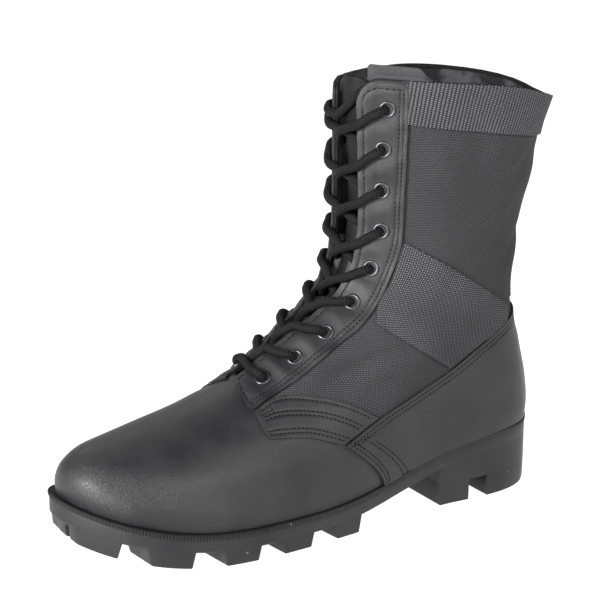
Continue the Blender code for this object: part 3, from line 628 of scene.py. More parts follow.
share = np.arange(sides + 1) / sides
halves = []
for side in (1, -1):
    throat = throatEdge(levels, side)[:, None]
    inThroat, onSide = throat * np.arange(half) / half, throat + (math.pi - throat) * share
    halves.append(side * np.concatenate([inThroat, onSide], axis=1))
angles = np.concatenate([halves[0], halves[1][:, 1:-1][:, ::-1]], axis=1)
levelGrid = np.repeat(levels[:, None], angles.shape[1], axis=1)


def collarDip(levels, angles):               # the inner side falls towards the throat, in levels
    wrapped = (angles + math.pi) % (2 * math.pi) - math.pi
    edge = throatEdge(np.array([13.9]), -1)[0]
    away = np.linalg.norm(basePoint(levels, wrapped) - basePoint(levels, 0 * wrapped - edge), axis=-1)
    (run, fall), (start, span) = upperWall["dip"], upperWall["topPart"]
    share = np.clip(1 - away / run, 0, 1) ** 1.1
    fallen = np.where(wrapped < 0, fall / upperWall["levelHeight"] * share, 0)
    return fallen * smoothStep((levels - start) / span)


def roundedTop(levels, angles):              # the collar's front corners are rounded
    edges = np.where(angles < 0, -throatEdge(levels[:, 0], -1)[:, None], throatEdge(levels[:, 0], 1)[:, None])
    away = np.linalg.norm(basePoint(levels, angles) - basePoint(levels, edges), axis=-1)
    radius = np.where(angles < 0, upperWall["innerCorner"], upperWall["corner"])
    drop = radius * (1 - np.sqrt(1 - np.clip(1 - away / radius, 0, 1) ** 2))
    start, span = upperWall["topPart"]
    rounded = levels - drop / upperWall["levelHeight"] * smoothStep((levels - start) / span)
    return rounded - collarDip(levels, angles)


levelGrid = np.where(levelGrid > form["throatLevel"], roundedTop(levelGrid, angles), levelGrid)
points = onBoot(levelGrid, angles)
columns = angles.shape[1]
width = np.abs(points[..., 1])
turned = np.where(np.cos(angles) < 0, 0.7, -0.7) * (width - width.max(axis=1, keepdims=True))
uv = np.stack([points[..., 0] + turned, points[..., 2]], axis=-1).reshape(-1, 2)
faces = []
for i in range(len(levels) - 1):
    for j in range(columns):
        inThroat = j < half or j >= columns - half
        if inThroat and levels[i] >= form["throatLevel"] - 1e-6:
            continue
        k = (j + 1) % columns
        faces.append((i * columns + j, i * columns + k, (i + 1) * columns + k, (i + 1) * columns + j))
upper = newMesh("upper_body", points.reshape(-1, 3), faces, vampLeather, uv)
for finish in (canvas, liningCloth, liningCloth, tongueLeather, tongueLeather):
    upper.data.materials.append(finish)
work = bmesh.new()
work.from_mesh(upper.data)
bmesh.ops.delete(work, geom=[v for v in work.verts if not v.link_faces], context="VERTS")
footLine, stayLine = inMetres(seams["canvasFoot"]), inMetres(seams["eyestayRear"])[::-1]
for face in work.faces:
    at = face.calc_center_median() - Vector(form["place"])
    overFoot = at.z > np.interp(at.x, footLine[:, 0], footLine[:, 1])
    stayEdge = np.interp(at.z, stayLine[:, 1], stayLine[:, 0]) + 3 * mm
    behindStay = at.x < min(stayEdge, 0.60 * form["bootLength"])
    face.material_index = 1 if overFoot and behindStay else 0
work.to_mesh(upper.data)
work.free()
wall = addWall(upper, upperWall["thickness"], -1)
wall.material_offset, wall.material_offset_rim = 2, 4
applyAll(upper)
finishPiece(upper, ["upper"])
print("upper made")

# Stitches: a sunk thread between two holes, each hole a flat disc painted near-black as its shade, modelled
# once and set along each row
stitch = {"pitch": 3.3 * mm, "fine": 2.4 * mm, "length": 2.4 * mm, "thread": 0.24 * mm,
          "hole": 0.55 * mm, "sides": 5, "ring": 8,
          "dip": 0.35 * mm, "reach": 0.9 * mm}       # how far the leather is drawn in beside the rows


def stitchShape():
    points, faces, kinds = [], [], []
    stations = ((-0.5, 0.0, 0.35), (-0.3, 0.6, 0.8), (0.0, 1.0, 1.0), (0.3, 0.6, 0.8), (0.5, 0.0, 0.35))
    n = stitch["sides"]
    for along, lift, thick in stations:
        for k in range(n):
            a = 2 * math.pi * k / n
            points.append((along * stitch["length"], math.cos(a) * stitch["thread"] * thick,
                           math.sin(a) * stitch["thread"] * thick + (lift * 0.30 - 0.12) * mm))
    for i in range(len(stations) - 1):
        for k in range(n):
            m = (k + 1) % n
            faces.append((i * n + k, (i + 1) * n + k, (i + 1) * n + m, i * n + m)[::-1])
            kinds.append(0)
    faces += [tuple(range(n)), tuple(range(len(points) - 1, len(points) - n - 1, -1))]
    kinds += [0, 0]
    # the hole: a flat disc that takes the painted shade
    start = len(points)
    ring = stitch["ring"]
    for radius, height in ((1.0, -0.05), (0.8, 0.06)):
        for k in range(ring):
            a = 2 * math.pi * k / ring
            points.append((stitch["pitch"] / 2 + math.cos(a) * stitch["hole"] * radius * 1.25,
                           math.sin(a) * stitch["hole"] * radius, height * mm))
    for k in range(ring):
        m = (k + 1) % ring
        faces.append((start + k, start + m, start + ring + m, start + ring + k))
        kinds.append(1)
    faces.append(tuple(start + ring + k for k in range(ring)))
    faces.append(tuple(start + k for k in range(ring - 1, -1, -1)))
    kinds += [1, 1]
    return np.array(points), faces, kinds


stitchPoints, stitchFaces, stitchKinds = stitchShape()


def sewRows(name, rows, offset, pitch=stitch["pitch"]):       # rows: (level, angle) lines of stitches
    allPoints, allFaces, allKinds = [], [], []
    for row in rows:
        path = onBoot(row[:, 0], row[:, 1], offset)
        normals = normalAt(row[:, 0], row[:, 1])
        run = runAlong(path)
        count = max(int(run[-1] / pitch), 1)
        for at in (np.arange(count) + 0.5) * run[-1] / count:
            along = placeAlong(run, path, at + mm) - placeAlong(run, path, at - mm)
            along /= np.linalg.norm(along)
            up = placeAlong(run, normals, at)
            up -= along * up.dot(along)
            up /= np.linalg.norm(up)
            turned = stitchPoints @ np.stack([along * pitch / stitch["pitch"], np.cross(up, along), up])
            start = len(allPoints) * len(stitchPoints)
            allPoints.append(turned + placeAlong(run, path, at))
            allFaces += [tuple(start + v for v in face) for face in stitchFaces]
            allKinds += stitchKinds
    obj = newMesh(name, np.concatenate(allPoints), allFaces, thread)
    obj.data.materials.append(stitchHoleShade)
    obj.data.polygons.foreach_set("material_index", allKinds)
    obj.data.update()
    finishPiece(obj, [])


def panel(name, grid, offset, thickness, finish, nodes, rows=(), edge=0.45 * mm):
    nT, nS = grid.shape[:2]
    flat = grid.reshape(-1, 2)
    lines = [onBoot(row[:, 0], row[:, 1]) for row in rows]
    drawn = soften(onBoot(flat[:, 0], flat[:, 1]), lines, stitch["dip"], stitch["reach"]) if lines else 0.0
    points = onBoot(flat[:, 0], flat[:, 1], offset - drawn)
    shape = points.reshape(nT, nS, 3)
    middle = runAlong(shape)[:, nS // 2][:, None]
    uv = np.stack([runAlong(shape, axis=1), np.repeat(middle, nS, axis=1)], axis=-1).reshape(-1, 2)
    obj = newMesh(name, points, gridFaces(nT, nS), finish, uv)
    normals = np.array([polygon.normal for polygon in obj.data.polygons])
    outward = normalAt(flat[:, 0], flat[:, 1]).reshape(nT, nS, 3)[:-1, :-1].reshape(-1, 3)
    if (normals * outward).sum() < 0:
        obj.data.flip_normals()
    addWall(obj, thickness, 1)
    addRim(obj, edge, 55)
    applyAll(obj)
    obj.data.polygons.foreach_set("use_smooth", [True] * len(obj.data.polygons))
    finishPiece(obj, nodes)


over = {"gap": 0.3 * mm, "leather": 1.5 * mm, "webbing": 1.4 * mm, "edgeRow": 2.4 * mm, "nextRow": 4.8 * mm,
        "stitchLift": 0.10 * mm}
top = over["gap"] + over["leather"] - stitch["dip"] + over["stitchLift"]
for side, word in ((1, "outer"), (-1, "inner")):
    # Eyestay: from the collar down the throat to its rounded end on the vamp
    cornerFall, cornerRun, collar = (0.5, 0.58, 13.92) if side > 0 else (0.18, 0.25, 13.97)
    upperLevels = np.linspace(collar - cornerFall, 6.95, 80)
    front = np.stack([upperLevels, side * throatEdge(upperLevels, side)], axis=-1)
    tip = onForm(seams["eyestayEnd"], side, 24)[0]
    bend = np.linspace(0, 1, 14)[1:, None]   # the last bit turns outwards into the rounded end
    straight = np.array((6.42, front[-1, 1]))
    curve = (1 - bend) ** 2 * front[-1] + 2 * bend * (1 - bend) * straight + bend**2 * tip
    front = np.concatenate([front, curve])
    rear = onForm(seams["eyestayRear"], side, 90)
    rear[0, 0] = collar
    end = onForm(seams["eyestayEnd"], side, 24)
    end[0] = front[-1]
    throatTop = throatEdge(np.array([13.97]), side)[0]
    arc = np.linspace(0, math.pi / 2, 33)
    cornerAngle = side * (throatTop + (abs(rear[0, 1]) - throatTop) * cornerRun * (1 - np.cos(arc)))
    corner = np.stack([collar - cornerFall * (1 - np.sin(arc)), cornerAngle], axis=-1)
    start = np.concatenate([corner, np.linspace(corner[-1], rear[0], 14)[1:]])
    nT, nS = 300, 46
    edges = [spread(front, nT), spread(rear, nT), spread(start, nS), spread(end, nS)]
    grid = coons(*edges)
    grid[..., 0] -= collarDip(grid[..., 0], grid[..., 1])
    rows = [beside(edges[1], -side * over["edgeRow"])[4:-3], beside(edges[1], -side * over["nextRow"])[4:-5],
            beside(edges[0], side * 3.1 * mm)[2:-4], beside(edges[2], -side * 3.1 * mm)[2:-6],
            beside(edges[3], side * 2.6 * mm)[5:-7]]
    for row in rows:
        row[:, 0] -= collarDip(row[:, 0], row[:, 1])
    panel("eyestay_leather_" + word, grid, over["gap"], over["leather"], stayLeather, ["eyestay_" + word],
          rows)
    sewRows("eyestay_stitches_" + word, rows[:2], top, stitch["fine"])
    sewRows("eyestay_edge_stitches_" + word, rows[2:], top)

    # Side band between vamp and cloth
    edges = [spread(onForm(seams[key], side, 60), n) for key, n in
             (("bandTop", 150), ("bandFoot", 150), ("bandRear", 60), ("bandFront", 60))]
    grid = coons(*edges)
    rows = [beside(edges[0], side * 2.2 * mm)[8:-8]]
    for s, low, high in ((0.36, 3, -12), (0.47, 3, -12), (0.78, 3, -8), (0.89, 3, -8)):
        rows.append(grid[low:high, int(s * 59)])
    for s in (0.12, 0.26):                   # the tack beside the eyestay's end
        rows.append(grid[-24:-8, int(s * 59)])
    rows.append(grid[-24, 7:17])
    panel("side_band_leather_" + word, grid, over["gap"] - 0.1 * mm, over["leather"] - 0.4 * mm, stayLeather,
          ["side_band_" + word], rows)
    sewRows("side_band_stitches_" + word, rows, top - 0.5 * mm, stitch["fine"])

    # Ankle strap of webbing
    edges = [spread(onForm(seams[key], side, 60), n) for key, n in
             (("strapUpper", 110), ("strapLower", 110), ("strapFront", 80), ("strapRear", 80))]
    panel("ankle_strap_webbing_" + word, coons(*edges), over["gap"], over["webbing"] - 0.2 * mm, strapWebbing,
          ["ankle_strap_" + word], edge=0.3 * mm)
print("sides made")

# Counter round the heel
front = spread(onForm(seams["counterFront"], 1, 60), 60)
topAngles = np.linspace(front[0, 1], math.pi, 180)
topEdge = np.stack([levelOnLine(topAngles, seams["counterTop"]), topAngles], axis=-1)
topEdge[0] = front[0]
footAngles = np.linspace(front[-1, 1], math.pi, 180)
footEdge = np.stack([np.full(180, 0.12), footAngles], axis=-1)
front[-1, 0] = 0.12


def bothSides(edge):                         # the outer half, then the inner one beyond the back
    mirrored = edge[::-1][1:].copy()
    mirrored[:, 1] = 2 * math.pi - mirrored[:, 1]
    return np.concatenate([edge, mirrored])


innerFront = front.copy()
innerFront[:, 1] = 2 * math.pi - innerFront[:, 1]
edges = [spread(bothSides(topEdge), 350), spread(bothSides(footEdge), 350), front, innerFront]
grid = coons(*edges)
rows = [beside(edges[0], -2.2 * mm)[3:-3], beside(edges[0], -4.6 * mm)[5:-5]]
for edge, side in ((front, 1), (innerFront, -1)):
    rows += [beside(edge, side * away * mm)[first:-2] for away, first in ((2.2, 3), (4.4, 6))]
    for back in (0.050, 0.062):              # the second pair, further back
        line = [(x - back, z) for x, z in seams["counterFront"][:-1]] + [(0.402 - back, 0.018)]
        rows.append(onForm(line, side, 50))
    for line in (((0.486, 0.172), (0.457, 0.138)), ((0.492, 0.143), (0.447, 0.166))):
        rows.append(onForm(line, side, 8))   # the cross sewn over the join with the side band
panel("counter_leather", grid, over["gap"], over["leather"], vampLeather, ["counter"], rows)
sewRows("counter_stitches", rows, top, stitch["fine"])

# Collar band
foot = seams["bandLower"]
lowAngle = abs(onForm(((0.333, 0.9105), (0.330, 0.910)), 1, 2)[0, 1])
highAngle = abs(onForm(((0.3325, 1.000), (0.331, 0.99)), 1, 2)[0, 1])
low, high = np.linspace(lowAngle, math.pi, 120), np.linspace(highAngle, math.pi, 120)
topEdge = np.stack([np.full(120, 14.0), high], axis=-1)
footEdge = np.stack([levelOnLine(low, foot), low], axis=-1)
start = np.linspace(topEdge[0], footEdge[0], 50)
finishEdge = start.copy()
finishEdge[:, 1] = 2 * math.pi - finishEdge[:, 1]
edges = [spread(bothSides(topEdge), 260), spread(bothSides(footEdge), 260), start, finishEdge]
grid = coons(*edges)
grid[..., 0] -= collarDip(grid[..., 0], grid[..., 1])
panel("collar_band_webbing", grid, over["gap"], over["webbing"], webbing, ["collar_band"],
      edge=0.4 * mm)

# Backstay
backstay = {"span": (0.402, 0.822), "halfWidth": 11 * mm}      # its ends, in shares of the leg's rise
ends = [levelOnLine(np.full(2, math.pi), ((-0.2, share), (0.2, share)))[0] for share in backstay["span"]]
levels = np.linspace(*ends, 120)
turn = widthAngle(levels, backstay["halfWidth"], atBack=True)
grid = np.stack([np.repeat(levels[:, None], 24, axis=1),
                 turn[:, None] + (2 * math.pi - 2 * turn[:, None]) * np.linspace(0, 1, 24)], axis=-1)
panel("backstay_webbing", grid, over["gap"] + 0.2 * mm, over["webbing"] + 0.4 * mm, strapWebbing,
      ["backstay"], edge=0.4 * mm)
print("overlays made")

# Eyelets: a rolled ring over a short barrel
eyelet = {"radius": 4.75 * mm, "hole": 2.9 * mm, "lift": 1.0 * mm, "segments": 44}


def turnedRing(seat, out, profile, segments):
    turn = Vector(out).to_track_quat("Z", "Y")
    points, faces = [], []
    n = len(profile)
    for i in range(segments):
        a = 2 * math.pi * i / segments
        for radius, height in profile:
            points.append(Vector(seat) + turn @ Vector((radius * math.cos(a), radius * math.sin(a), height)))
    for i in range(segments):
        a, b = i * n, (i + 1) % segments * n
        faces += [(a + j, b + j, b + (j + 1) % n, a + (j + 1) % n) for j in range(n)]
    return points, faces


seats = {}
for side, word in ((1, "outer"), (-1, "inner")):
    for number, spot in enumerate(eyeletPlaces):
        place = onForm((spot, (spot[0] + 0.001, spot[1])), side, 2)[0]
        seats[word, number] = place
        seat = onBoot(place[0], place[1], over["gap"] + over["leather"])
        out = normalAt(place[0], place[1])
        r, h = eyelet["radius"], eyelet["hole"]
        profile = [(h, -3.4 * mm), (h + 0.35 * mm, -3.4 * mm), (h + 0.35 * mm, -0.2 * mm),
                   (r - 0.1 * mm, -0.2 * mm)]
        for k in range(9):
            a = math.pi * k / 8
            middle, wide = (r + h) / 2, (r - h) / 2
            lift = eyelet["lift"] * math.sin(a) ** 0.8 if 0 < k < 8 else 0.0
            profile.append((middle + wide * math.cos(a), lift))
        profile.append((h, -1.0 * mm))
        points, faces = turnedRing(seat, out, profile, eyelet["segments"])
        obj = newMesh("eyelet_ring_%s_%d" % (word, number + 1), points, faces, eyeletMetal)
        faceOutwards(obj)
        finishPiece(obj, ["eyelet_%s_%d" % (word, number + 1)])
print("eyelets made")

# Laces: a round braid from inside each eyelet over its edge, across the throat and under the other edge
lace = {
    "radius": 2.35 * mm, "step": 0.30 * mm, "sides": 21, "braid": 0.34 * mm, "plies": 7, "weave": 1.12 * mm,
    "under": -4.9 * mm,
    "fall": {                                # how far each strand has dropped at its own side's edge
        "outer": (0.46, 0.40, 0.30, 0.33, 0.30, 0.12, 0.02, 0.0),
        "inner": (0.5, 0.5, 0.4, 0.2, 0.1, 0.04, 0.0, 0.0),
    },
}


def laceTube(stations, count=90):            # stations: (level, angle, offset)
    stations = np.array(stations, float)
    rough = onBoot(stations[:, 0], stations[:, 1], stations[:, 2])
    run = runAlong(rough)
    fine = alongTable(run, stations, np.linspace(0, run[-1], count))
    path = onBoot(fine[:, 0], fine[:, 1], fine[:, 2])
    for _ in range(3):
        path[1:-1] = (path[:-2] + 2 * path[1:-1] + path[2:]) / 4
    return path


def braidAlong(name, paths, nodes):          # one mesh of plaited tubes
    allPoints, allFaces, allUv = [], [], []
    n, plies, weave = lace["sides"], lace["plies"], lace["weave"]
    for path in paths:
        run = runAlong(path)
        count = int(run[-1] / lace["step"])
        at = np.linspace(0, run[-1], count)
        spots = alongTable(run, path, at)
        along = np.gradient(spots, axis=0)
        along /= np.linalg.norm(along, axis=1, keepdims=True)
        side = np.cross(along[0], (0, 0, 1.0))
        start = sum(len(block) for block in allPoints)
        rows = []
        for i in range(count):
            side = side - along[i] * side.dot(along[i])
            side /= np.linalg.norm(side)
            up = np.cross(along[i], side)
            a = 2 * math.pi * np.arange(n) / n
            swell = np.abs(np.cos(plies * a) * np.cos(math.pi * at[i] / weave)) * lace["braid"]
            end = min(at[i], run[-1] - at[i], 1.2 * mm) / (1.2 * mm)
            radius = (lace["radius"] + swell) * (0.55 + 0.45 * math.sqrt(max(1 - (1 - end) ** 2, 0)))
            rows.append(spots[i] + np.outer(radius * np.cos(a), side) + np.outer(radius * np.sin(a), up))
        allPoints.append(np.concatenate(rows))
        i, j = np.meshgrid(np.arange(count - 1), np.arange(n), indexing="ij")
        i, j = i.ravel(), j.ravel()
        k = (j + 1) % n
        quads = start + np.stack([i * n + j, (i + 1) * n + j, (i + 1) * n + k, i * n + k], axis=1)
        allFaces += [tuple(quad) for quad in quads]
        about = 2 * plies * weave * np.stack([j, j, j + 1, j + 1], axis=1) / n
        away = (run[-1] / (count - 1)) * np.stack([i, i + 1, i + 1, i], axis=1)
        allUv.append(np.stack([about, away], axis=-1).reshape(-1, 2))
        allUv.append(np.zeros((2 * n, 2)))
        allFaces.append(tuple(start + k for k in range(n)))
        allFaces.append(tuple(start + (count - 1) * n + k for k in range(n - 1, -1, -1)))
    obj = newMesh(name, np.concatenate(allPoints), allFaces, cordFinish)
    obj.data.uv_layers.new(name="surface").data.foreach_set("uv", np.concatenate(allUv).ravel())
    finishPiece(obj, nodes)


def strand(number, word, upperSide):         # from the eyelet's inside out, over, across and under
    level, angle = seats[word, number]
    other = "inner" if word == "outer" else "outer"
    nextLevel, nextAngle = seats[other, number + 1]
    side = 1 if word == "outer" else -1
    edge = throatEdge(np.array([level]), side)[0]
    nextEdge = throatEdge(np.array([nextLevel]), -side)[0]
    face = over["gap"] + over["leather"]
    lying = face + lace["radius"] * 0.92
    drop = nextLevel - level
    away = abs(angle) - edge
    crossing = 1.5 * mm if upperSide else -3.2 * mm
    fall = lace["fall"][word][number]
    rest = 1 - fall
    return [
        (level, angle - side * 0.05 * away, -4.0 * mm), (level, angle - side * 0.05 * away, 0.6 * mm),
        (level + drop * fall * 0.15, angle - side * away * 0.17, lying + 0.6 * mm),
        (level + drop * fall * 0.45, angle - side * away * 0.50, lying + 0.1 * mm),
        (level + drop * fall, angle - side * away * 0.96, lying - 0.2 * mm),
        (level + drop * (fall + rest * 0.18), side * edge * 0.55, lying * 0.4 + crossing * 0.6),
        (level + drop * (fall + rest * 0.42), side * (edge - nextEdge) / 2, crossing),
        (level + drop * (fall + rest * 0.66), -side * nextEdge * 0.70, crossing * 0.3 + lace["under"] * 0.7),
        (level + drop * (fall + rest * 0.82), -side * (nextEdge + 0.12 * (abs(nextAngle) - nextEdge)),
         lace["under"]),
        (level + drop * (fall + rest * 0.95), nextAngle * 0.97, lace["under"]),
        (nextLevel, nextAngle, lace["under"] + 0.5 * mm),
        (nextLevel, nextAngle, -3.0 * mm),
    ]


last = len(eyeletPlaces) - 1
for number in range(last):
    paths = [laceTube(strand(number, "outer", True)), laceTube(strand(number, "inner", False))]
    braidAlong("lace_strands_%d" % (number + 1), paths, ["lace_cross_%d" % (number + 1)])
level, angle = seats["outer", last]
lying = over["gap"] + over["leather"] + lace["radius"]
barStations = [(0.0, 1.0, -4 * mm), (0.0, 1.0, 0.6 * mm), (0.02, 0.86, lying + 0.4 * mm),
               (0.08, 0.62, lying - 0.3 * mm), (0.15, 0.35, lying - 1.0 * mm), (0.22, 0.0, lying - 1.0 * mm),
               (0.26, -0.35, lying - 0.6 * mm), (0.22, -0.62, lying), (0.08, -0.86, lying + 0.4 * mm),
               (0.0, -1.0, 0.6 * mm), (0.0, -1.0, -4 * mm)]
bar = [(level + up, angle * across, height) for up, across, height in barStations]
braidAlong("lace_lowest_bar", [laceTube(bar)], ["lace_bar"])
# The ends: the inner one wraps over its edge and goes back into the boot, the outer one hangs inside
level, angle = seats["inner", 0]
outerLevel, outerAngle = seats["outer", 0]
edge = throatEdge(np.array([level]), -1)[0]
tails = [
    [(level, angle, -2.0 * mm), (level, angle * 0.98, 1.0 * mm),
     (level - 0.01, angle * 0.84, lying + 0.3 * mm),
     (level - 0.04, angle * 0.62, lying), (level - 0.12, -edge * 0.95, lying - 0.2 * mm),
     (level - 0.17, -edge * 0.55, 0.8 * mm), (level - 0.13, -edge * 0.1, -1.0 * mm),
     (level + 0.04, edge * 0.42, -1.6 * mm), (level + 0.30, edge * 0.90, -4.6 * mm),
     (level + 0.44, edge * 1.5, -7.0 * mm), (level + 0.30, edge * 2.1, -6.4 * mm),
     (level - 0.3, edge * 2.6, -5.6 * mm), (level - 1.0, edge * 2.9, -5.4 * mm)],
    [(outerLevel, outerAngle, -3.6 * mm), (level - 0.1, outerAngle * 1.05, -5.0 * mm),
     (level - 0.5, outerAngle * 1.12, -5.2 * mm), (level - 1.3, outerAngle * 1.15, -5.0 * mm)],
]
braidAlong("lace_ends", [laceTube(tail, 120) for tail in tails], [])
print("laces made")

# Tongue of leather, its cloth gussets, their folds at the top, and the collar's inner binding
tongue = {"drop": 8.6 * mm, "thickness": 2.2 * mm, "rows": 150, "columns": 40, "rise": -1.0 * mm,
          "forward": 3.8 * mm, "edge": 0.6 * mm}
levels = np.linspace(5.9, 14, tongue["rows"])
edge = widthAngle(levels, form["throatWidth"] / 2)
share = np.linspace(-1, 1, tongue["columns"])
angles = edge[:, None] * 1.55 * share[None]
levelGrid = levels[:, None] + 0 * angles
bulge = 1.4 * mm * np.cos(share * math.pi / 2)[None] ** 2 - 1.6 * mm * np.abs(share[None]) ** 3
wave = 0.5 * mm * np.sin(levels * 2.6)[:, None] * (1 - share[None] ** 2)
forward = tongue["forward"] * smoothStep((levels - 12.2) / 1.6)[:, None]
points = onBoot(levelGrid, angles, -tongue["drop"] + bulge + wave + forward)
lift = smoothStep((levels - 12.5) / 1.5)[:, None] * (tongue["rise"] - 7 * mm * np.abs(share[None]) ** 5)
points[..., 2] += lift
faces = gridFaces(tongue["rows"], tongue["columns"])
obj = newMesh("tongue_leather", points.reshape(-1, 3), faces, tongueLeather)
addWall(obj, tongue["thickness"], 0)
addRim(obj, tongue["edge"], 55)
applyAll(obj)
finishPiece(obj, ["tongue"])


def clothSheet(name, grid, finish, thickness=0.9 * mm):
    rows, columns = grid.shape[:2]
    uv = np.stack([runAlong(grid, axis=1), runAlong(grid)], axis=-1).reshape(-1, 2)
    obj = newMesh(name, grid.reshape(-1, 3), gridFaces(rows, columns), finish, uv)
    addWall(obj, thickness, 0)
    applyAll(obj)
    finishPiece(obj, [])


for side, word in ((1, "outer"), (-1, "inner")):
    levels = np.linspace(6.3, 11.9 if side > 0 else 10.8, 120)
    edge = widthAngle(levels, form["throatWidth"] / 2)
    low = 1 - smoothStep((levels - 10.0) / 1.5)
    stations = np.linspace(0, 1, 5)
    reach, lower = (1.12, 0.80) if side > 0 else (1.3, 0.5)      # how far it comes over the tongue
    inner = reach - lower * low
    turns = np.stack([inner, inner * 0.6 + 0.42] + [np.full(120, turn) for turn in (1.25, 1.45, 1.8)], axis=1)
    sinks = np.array([-6.9, -5.6, -3.9, -3.1, -3.0]) * mm
    fine = np.linspace(0, 1, 22)
    turnGrid = alongTable(stations, turns.T, fine).T
    sinkGrid = np.repeat(alongTable(stations, sinks, fine)[None], 120, axis=0)
    sinkGrid += 0.5 * mm * np.sin(levels * 5.1)[:, None] * np.sin(fine * math.pi)[None]
    grid = onBoot(levels[:, None] + 0 * turnGrid, side * turnGrid * edge[:, None], sinkGrid)
    clothSheet("gusset_" + word, grid, gussetCloth)

folds = (("rear", 1.15, 3.3, -8.4, 6.2, 0.80), ("front", 1.6, 3.3, -4.4, 1.8, 0.80))
edge = widthAngle(np.array([14.0]), form["throatWidth"] / 2)[0]
for word, first, final, sink, height, flatTo in folds:
    t = np.linspace(0, 1, 60)
    turns = edge * (first + (final - first) * t)
    topLine = height * mm * (1 - smoothStep((t - flatTo) / (1 - flatTo))) * np.minimum(1, 0.75 + t * 4)
    down = np.linspace(0, 1, 16)
    slope = basePoint(np.full(60, 14.0), turns) - basePoint(np.full(60, 13.5), turns)
    slope /= np.linalg.norm(slope, axis=1, keepdims=True)
    rim = onBoot(np.full(60, 14.0), turns, sink * mm + 0.5 * mm * np.sin(t * 9))
    reach = topLine[None] - (topLine[None] + 18 * mm) * down[:, None]
    clothSheet("gusset_fold_" + word, rim[None] + slope[None] * reach[..., None], gussetCloth, 1.1 * mm)
binding = np.linspace(3.2 * edge, 2 * math.pi - 4.2 * edge, 260)
levels = np.linspace(13.88, 14.0, 5)
grid = onBoot(levels[:, None] + 0 * binding[None], binding[None] + 0 * levels[:, None], -2.7 * mm)
clothSheet("collar_binding", grid, bindingTape, 0.8 * mm)
print("tongue made")

# Outsole: slab with its ribbed welt, lugs with slanting faces, bars and heel blocks
tread = {
    "springStart": 0.731, "spring": 17 * mm, "slab": 10 * mm, "thicker": 4 * mm, "slabSlope": (0.81, 1.11),
    "lugDepth": 8 * mm, "barDepth": 4.2 * mm, "sideLug": 0.42, "slant": 0.125, "taper": 2.2 * mm,
    "rows": ((0.484, 0.535), (0.594, 0.651), (0.704, 0.763), (0.823, 0.886)),
    "toeRow": (0.926, 0.972), "toeLug": (0.33, 1.0), "toeSlant": 0.06, "edge": 0.7 * mm,
    "heelLength": 81 * mm, "notch": (48 * mm, 60.5 * mm), "notchDepth": 13 * mm,
    "ribPitch": 1.8 * mm, "ribDepth": 0.55 * mm,
}


def treadLevel(x):
    rise = np.maximum(x / form["bootLength"] - tread["springStart"], 0) / (1 - tread["springStart"])
    return tread["spring"] * rise**2


def slabBottom(x):
    start, end = tread["slabSlope"]
    share = smoothStep((x / form["bootLength"] - start) / (end - start))
    return soleTop(x) - tread["slab"] - tread["thicker"] * share


def planAt(angle, outset):                   # the sole's outline seen from above, moved outwards
    angle = (angle + math.pi) % (2 * math.pi) - math.pi
    row = ringRow(np.zeros(len(angle)))
    share = (1 + np.cos(angle)) / 2
    back = row[:, 0] * form["bootLength"] - outset
    front = row[:, 2] * form["bootLength"] + outset * sole["toeReach"]
    lean = -form["toeSwing"] * smoothStep((share - 0.55) / 0.45)
    grown = 1 + outset / (form["ballWidth"] / 2)
    y = lean + np.where(angle < 0, -1, 1) * halfWidth(row, share, angle < 0) * grown
    return np.stack([back + (front - back) * share, y], axis=-1)


def evenPlan(count):                         # angles evenly spaced along the outline
    fine = np.linspace(0, 2 * math.pi, 6001)
    plan = planAt(fine, np.full(6001, sole["weltWidth"]))
    run = runAlong(plan)
    return np.interp(np.arange(count) * run[-1] / count, run, fine), run[-1]


def edgeAt(x, side, outset):
    row = ringRow(np.zeros(1))[0]
    back = row[0] * form["bootLength"] - outset
    front = row[2] * form["bootLength"] + outset * sole["toeReach"]
    share = np.clip((x - back) / (front - back), 0, 1)
    return planAt(side * np.arccos(2 * share - 1), np.full(len(x), outset))[:, 1]


def loops(name, sections, finish, closed=False, bevel=0.0):    # equal rings, capped or closed on themselves
    count = len(sections[0])
    faces = []
    for i in range(len(sections) if closed else len(sections) - 1):
        a, b = i * count, (i + 1) % len(sections) * count
        faces += [(a + j, b + j, b + (j + 1) % count, a + (j + 1) % count) for j in range(count)]
    if not closed:
        end = len(sections) * count
        faces += [tuple(range(count)), tuple(range(end - 1, end - count - 1, -1))]
    obj = newMesh(name, np.concatenate(sections) + np.array(form["place"]), faces, finish)
    faceOutwards(obj)
    if bevel:
        addRim(obj, bevel, 28)
        applyAll(obj)
    active(obj)
    bpy.ops.object.shade_smooth_by_angle(angle=math.radians(32))
    return obj


solePieces = []
turns, around = evenPlan(520)
layers = ((-6.0, 0.0, -0.3), (1.55, 0.0, -0.3), (1.8, 0.0, -0.6), (1.85, 0.0, -3.0), (1.95, 0.3, 0.0),
          (2.0, 0.9, 0.0), (1.6, 1.0, 0.35), (0.9, 1.0, 0.0))
sections = []
for outset, share, down in layers:
    plan = planAt(turns, np.full(520, outset * mm))
    topZ, lowZ = soleTop(plan[:, 0]), slabBottom(plan[:, 0])
    z = topZ + (lowZ - topZ) * share + down * mm if share < 1 else lowZ + down * mm
    sections.append(np.column_stack([plan, z]))
slabMesh = loops("outsole_slab", sections, rubber)
solePieces.append(slabMesh)

